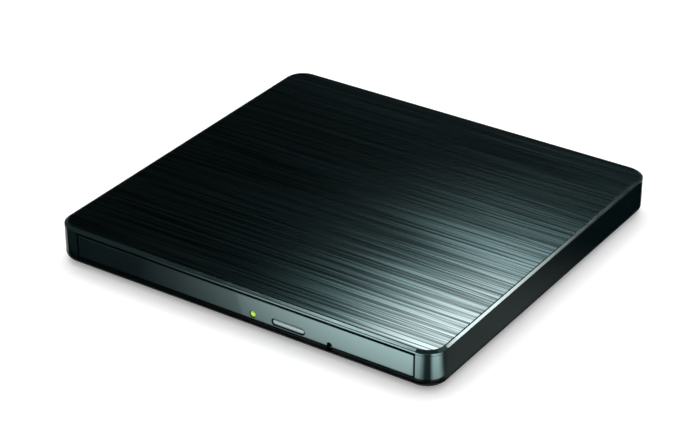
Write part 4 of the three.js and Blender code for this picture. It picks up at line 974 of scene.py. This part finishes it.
pill = stadium(pill_length, pill_height, button_x, pill_z, 17)
crown = [(-0.8, -0.05), (-0.5, -0.045), (-0.33, -0.02), (-0.19, 0.05), (-0.08, 0.15), (0, 0.36)]
rings = [front_loop(grown(pill, out), front_y + pill_back + y) for out, y in crown]
rings.append(front_loop(pill, flange_front))
flange = rectangle(button_x, button_z, flange_half, flange_low, flange_high)
flange_steps = [front_loop(flange, y) for y in (flange_front, flange_rear)]
stem = rectangle(button_x, button_z, stem_half_x, stem_half_z, stem_half_z)
stem_steps = [front_loop(stem, y) for y in (flange_rear, stem_rear)]
parts = [
    woven(rings),
    filled(rings[0]),
    filled(flange_steps[0], [rings[-1]]),
    woven(flange_steps),
    filled(flange_steps[1], [stem_steps[0]]),
    woven(stem_steps),
    filled(stem_steps[1]),
]
mould("eject_pill", parts, silver_button, "button", ["eject_button"], outward=True)

# Activity light: a clear green pipe pushed through the front, domed where it shows, and given a
# painted green glow.

light_green, tree, output = blank_material("light_green")
place = add_node(tree, "ShaderNodeTexCoord")
haze = add_node(tree, "ShaderNodeTexNoise", {"Vector": place.outputs["Object"], "Scale": 2200.0})
green = blend(tree, haze.outputs["Fac"], (0.30, 0.52, 0.03, 1), (0.46, 0.72, 0.07, 1))
bump = add_node(tree, "ShaderNodeBump", {"Height": haze.outputs["Fac"], "Distance": 5e-6})
worn = add_node(
    tree, "ShaderNodeMapRange", {"Value": haze.outputs["Fac"], "To Min": 0.12, "To Max": 0.24}
)
# The pipe's glow is painted: it shines green of itself, in place of light from the lamp behind it,
# which gives none.
principled(
    tree,
    output,
    base_color=green,
    roughness=worn.outputs[0],
    normal=bump.outputs[0],
    emission_color=green,
    emission_strength=0.55,
)

dome = [(0.001, 0.0), (0.35, 0.03), (0.65, 0.11), (0.88, 0.26), (1.0, 0.5)]
barrel = [(1.0, 1.4), (1.35, 1.4), (1.35, 2.0), (1.0, 2.0), (1.0, 5.15), (0.001, 5.15)]
rings = [
    front_loop(circle(light_x, light_z, radius, 28), front_y + depth)
    for radius, depth in dome + barrel
]
parts = [woven(rings)]
mould("light_pipe_lens", parts, light_green, "tray", ["light_pipe"], outward=True)

# Top cover: a glossy black moulding with a bevelled rim, a shallow bed for the plate, a
# fine groove round its walls, and openings for the tray front and for the socket.

roof_under, plate_bottom = 12.8, 13.5
seam_gap, round_top = 0.2, 3.4
opening_left, opening_right = -63.25, 64.95
socket_left, socket_right, socket_low, socket_high = -33.4, -24.9, 5.3, 10.0
groove = [(0, 12.42), (0.09, 12.47), (0.09, 12.58), (0, 12.63)]
groove_rear, groove_fade = -61.6, 2.5
rim_profile = [(0, 13.3), (0.01, 13.355), (0.035, 13.4), (0.075, 13.437), (0.12, 13.47)]
rim_profile += [(0.18, 13.51), (0.9, 13.981), (0.92, 13.994), (0.95, plate_level)]
rim_profile += [(1.02, plate_level), (1.05, 13.98), (1.08, 13.9), (1.08, plate_bottom)]
boss_tube = [(1.9, 12.9), (1.9, 3.2), (1.8, 3.1), (0.95, 3.1), (0.95, 8.6), (0.001, 8.6)]

left_post = [-straight_x, -64.0, opening_left]
front_stations = np.concatenate([left_post, np.linspace(opening_left, straight_x, 40)])
opening_turn = np.degrees(np.arcsin((opening_right - straight_x) / corner_radius))
corner_turn = np.concatenate([[opening_turn, opening_turn], np.linspace(5, 85, 17)])
rear_stations = np.concatenate(
    [np.linspace(-straight_x, socket_left, 8), np.linspace(socket_right, straight_x, 18)]
)
cores, outs = rim_columns(front_stations, rear_stations, corner_turn)
outer = rim_point(cores, outs, 0, 0)
edge_level = seam_level(outer[:, 1]) + seam_gap
open_columns = np.zeros(len(cores), bool)
open_columns[len(left_post) : len(front_stations) + 1] = True
edge_level[open_columns] = roof_under
low_share = np.linspace(0, 1, 6)[:, None]
low_levels = edge_level + np.maximum(round_top - edge_level, 0) * low_share
rings = [
    rim_point(cores, outs, wall, roof_under),
    rim_point(cores, outs, wall, np.maximum(edge_level, socket_high)),
    rim_point(cores, outs, wall, np.maximum(edge_level, socket_low)),
    rim_point(cores, outs, wall, edge_level),
]
socket_ring = len(rings) + len(low_levels)
at_front = np.clip((groove_rear - outer[:, 1]) / groove_fade, 0, 1)
levels = [(under_inset(z), z) for z in low_levels]
levels += [(0, socket_low), (0, socket_high)]
levels += [(inset * at_front, z) for inset, z in groove]
levels += [(0, roof_under)]
for inset, z in levels:
    clipped = np.maximum(z, edge_level)
    rings.append(rim_point(cores, outs, np.where(open_columns, 0, inset), clipped))
rings += [rim_point(cores, outs, inset, z) for inset, z in rim_profile]

# The socket's opening: the faces over it come out of the inner and the outer wall, and
# four faces through the wall join the two holes.
points, quads = woven(rings)
quads = np.array(quads)
columns = len(cores)
row, column = np.divmod(quads[:, 0], columns)
right_of_socket = np.isclose(outer[:, 0], socket_right) & (outer[:, 1] > 0)
right_column = int(np.flatnonzero(right_of_socket)[0])
window = (column == right_column) & np.isin(row, (1, socket_ring))
top_right, top_left, low_right, low_left = [
    (inner_ring * columns + column, outer_ring * columns + column)
    for inner_ring, outer_ring in ((1, socket_ring + 1), (2, socket_ring))
    for column in (right_column, right_column + 1)
]
hole = [top_right, top_left, low_left, low_right]
sill = [[*start, *end[::-1]] for start, end in zip(hole, hole[1:] + hole[:1])]
parts = [
    (points, quads[~window].tolist() + sill),
    filled(rings[0], flip=True),
    filled(rings[-1]),
]
for sx, sy in quarters:
    parts.append(woven(circles(sx * screw_x, sy * screw_y, boss_tube)))
mould("top_shell", parts, gloss_shell, "case", ["top_cover"], 32, outward=True)

# Top plate: anodised aluminium, brushed from side to side and let into the cover's bed.
# Its upper edge is eased by a small rounding.

brushed_plate, tree, output = blank_material("brushed_plate")
place = add_node(tree, "ShaderNodeTexCoord")


def brushed(length, width, detail=2.0):
    """Noise drawn out along the brushing, with its streaks' length and width in millimetres."""
    drawn = add_node(
        tree,
        "ShaderNodeMapping",
        {"Vector": place.outputs["Object"], "Scale": (1000 / length, 1000 / width, 1000.0)},
    )
    made = add_node(
        tree,
        "ShaderNodeTexNoise",
        {"Vector": drawn.outputs[0], "Scale": 1.0, "Detail": detail, "Roughness": 0.65},
    )
    return made.outputs["Fac"]


coarse, medium, fine = brushed(140, 2.4), brushed(90, 1.0), brushed(60, 0.75, 1.0)
coarse_share, medium_share, fine_share = 0.17, 0.4, 0.43
streaks = times(tree, medium, medium_share)
streaks = arithmetic(tree, "MULTIPLY_ADD", coarse, coarse_share, streaks)
streaks = arithmetic(tree, "MULTIPLY_ADD", fine, fine_share, streaks)
dark_streak, bright_streak = (0.010, 0.018, 0.019, 1), (0.170, 0.205, 0.208, 1)
shade = blend(tree, steps_between(tree, streaks, 0.41, 0.59), dark_streak, bright_streak)
bump = add_node(
    tree, "ShaderNodeBump", {"Height": brushed(150, 3.2, 0.0), "Distance": 3e-7, "Strength": 1.0}
)
principled(
    tree,
    output,
    base_color=shade,
    roughness=noise_between(tree, streaks, 0.07, 0.085),
    metallic=1.0,
    normal=bump.outputs[0],
    coat_weight=0.2,
    coat_roughness=0.08,
)

plate_profile = [(1.28, plate_bottom), (1.28, 13.9), (1.3, 13.98)]
plate_profile += [(1.34, plate_level), (1.4, plate_level)]
plate_stations = np.linspace(-straight_x, straight_x, 40)
cores, outs = rim_columns(plate_stations, plate_stations)
rings = [rim_point(cores, outs, inset, z) for inset, z in plate_profile]
parts = [woven(rings), filled(rings[0], flip=True), filled(rings[-1])]
mould("brushed_top", parts, brushed_plate, "case", ["top_plate"], 30)

# Case screws: zinc-plated steel, with domed heads and a cross recess, driven up through
# the bottom cover into the top cover's bosses. Their heads lie below the cover's surface.

head_profile = [(1.3, 1.5), (1.46, 1.54), (1.57, 1.64), (1.6, 1.78), (1.6, 2.04), (1.55, 2.1)]
thread_pitch, thread_low, thread_high = 0.55, 2.3, 7.7
crest_radius, thread_swing = 0.8, 0.08
neck_profile = [(0.72, 2.1), (0.72, thread_low)]
tip_profile = [(0.7, 7.8), (0.4, 8.1)]
arm, half = 0.85, 0.2
recess_steps = [(1, 1.5), (0.6, 1.88)]
recess_turn = [[0.84, 0.54], [-0.54, 0.84]]
four_corners = (
    ("front_left", -1, -1),
    ("front_right", 1, -1),
    ("rear_left", -1, 1),
    ("rear_right", 1, 1),
)


def thread(x, y, rows=61, columns=24):
    """A screw thread: the radius swings between crest and root with the height less the
    share of a turn, so that the crests climb by one pitch in each turn.
    """
    height = np.linspace(thread_low, thread_high, rows)[:, None]
    turn = np.linspace(0, 1, columns, endpoint=False)[None, :]
    swing = np.cos(2 * np.pi * ((height - thread_low) / thread_pitch - turn))
    radius = crest_radius - thread_swing * (1 - swing)
    angle = 2 * np.pi * turn
    height = np.broadcast_to(height, radius.shape)
    return np.stack([x + radius * np.cos(angle), y + radius * np.sin(angle), height], -1)


cross = [(arm, -half), (arm, half), (half, half), (half, arm), (-half, arm), (-half, half)]
cross += [(-a, -b) for a, b in cross]
cross = np.array(cross) @ recess_turn
for place, sx, sy in four_corners:
    x, y = sx * screw_x, sy * screw_y
    recess = [at_level(cross * share + [x, y], z) for share, z in recess_steps]
    head, tip = circles(x, y, head_profile + neck_profile), circles(x, y, tip_profile)
    rings = np.concatenate([head, thread(x, y), tip])
    parts = [
        woven(rings),
        filled(rings[0], [recess[0]], flip=True),
        woven(recess, flip=True),
        filled(recess[1], flip=True),
        filled(rings[-1]),
    ]
    name = f"case_screw_{place}"
    mould(f"cross_{name}", parts, zinc_steel, "case", [name], 35, outward=True)

# Feet: soft black rubber discs, pressed into round wells under the four corners, each with
# a shallow dish in the middle so that it stands on its rim.

foot_profile = [(3.55, 0.14), (3.68, 0.1), (3.8, 0.03), (3.95, 0.0), (4.4, 0.0), (4.7, 0.06)]
foot_profile += [(4.9, 0.18), (5.0, 0.4), (5.0, 1.4), (4.95, 1.45)]
for place, sx, sy in four_corners:
    parts = turned(sx * foot_x, sy * foot_y, foot_profile, 64)
    mould(f"dished_foot_{place}", parts, rubber, "case", [f"foot_{place}"])

# Label: a bare, satin silver film with rounded corners, stuck to the middle of the
# underside.

label_film = finish("label_film", (0.58, 0.6, 0.59), 0.5, 0.3, mottle=0.04, grain_height=0.003)
label_half_x, label_half_y, label_corner = 31.0, 17.0, 2.0
label_profile = [(0.1, 0.88), (0.03, 0.88), (0, 0.91), (0, case_bottom)]
straight_half_x, straight_half_y = label_half_x - label_corner, label_half_y - label_corner
film = np.concatenate(
    [
        corner_arc(sx * straight_half_x, sy * straight_half_y, label_corner, start, 9)
        for sx, sy, start in ((1, -1, -90), (1, 1, 0), (-1, 1, 90), (-1, -1, 180))
    ]
)
rings = [at_level(grown(film, -inset), z) for inset, z in label_profile]
parts = [woven(rings), filled(rings[0], flip=True), filled(rings[-1])]
mould("bare_label", parts, label_film, "case", ["label_plate"])
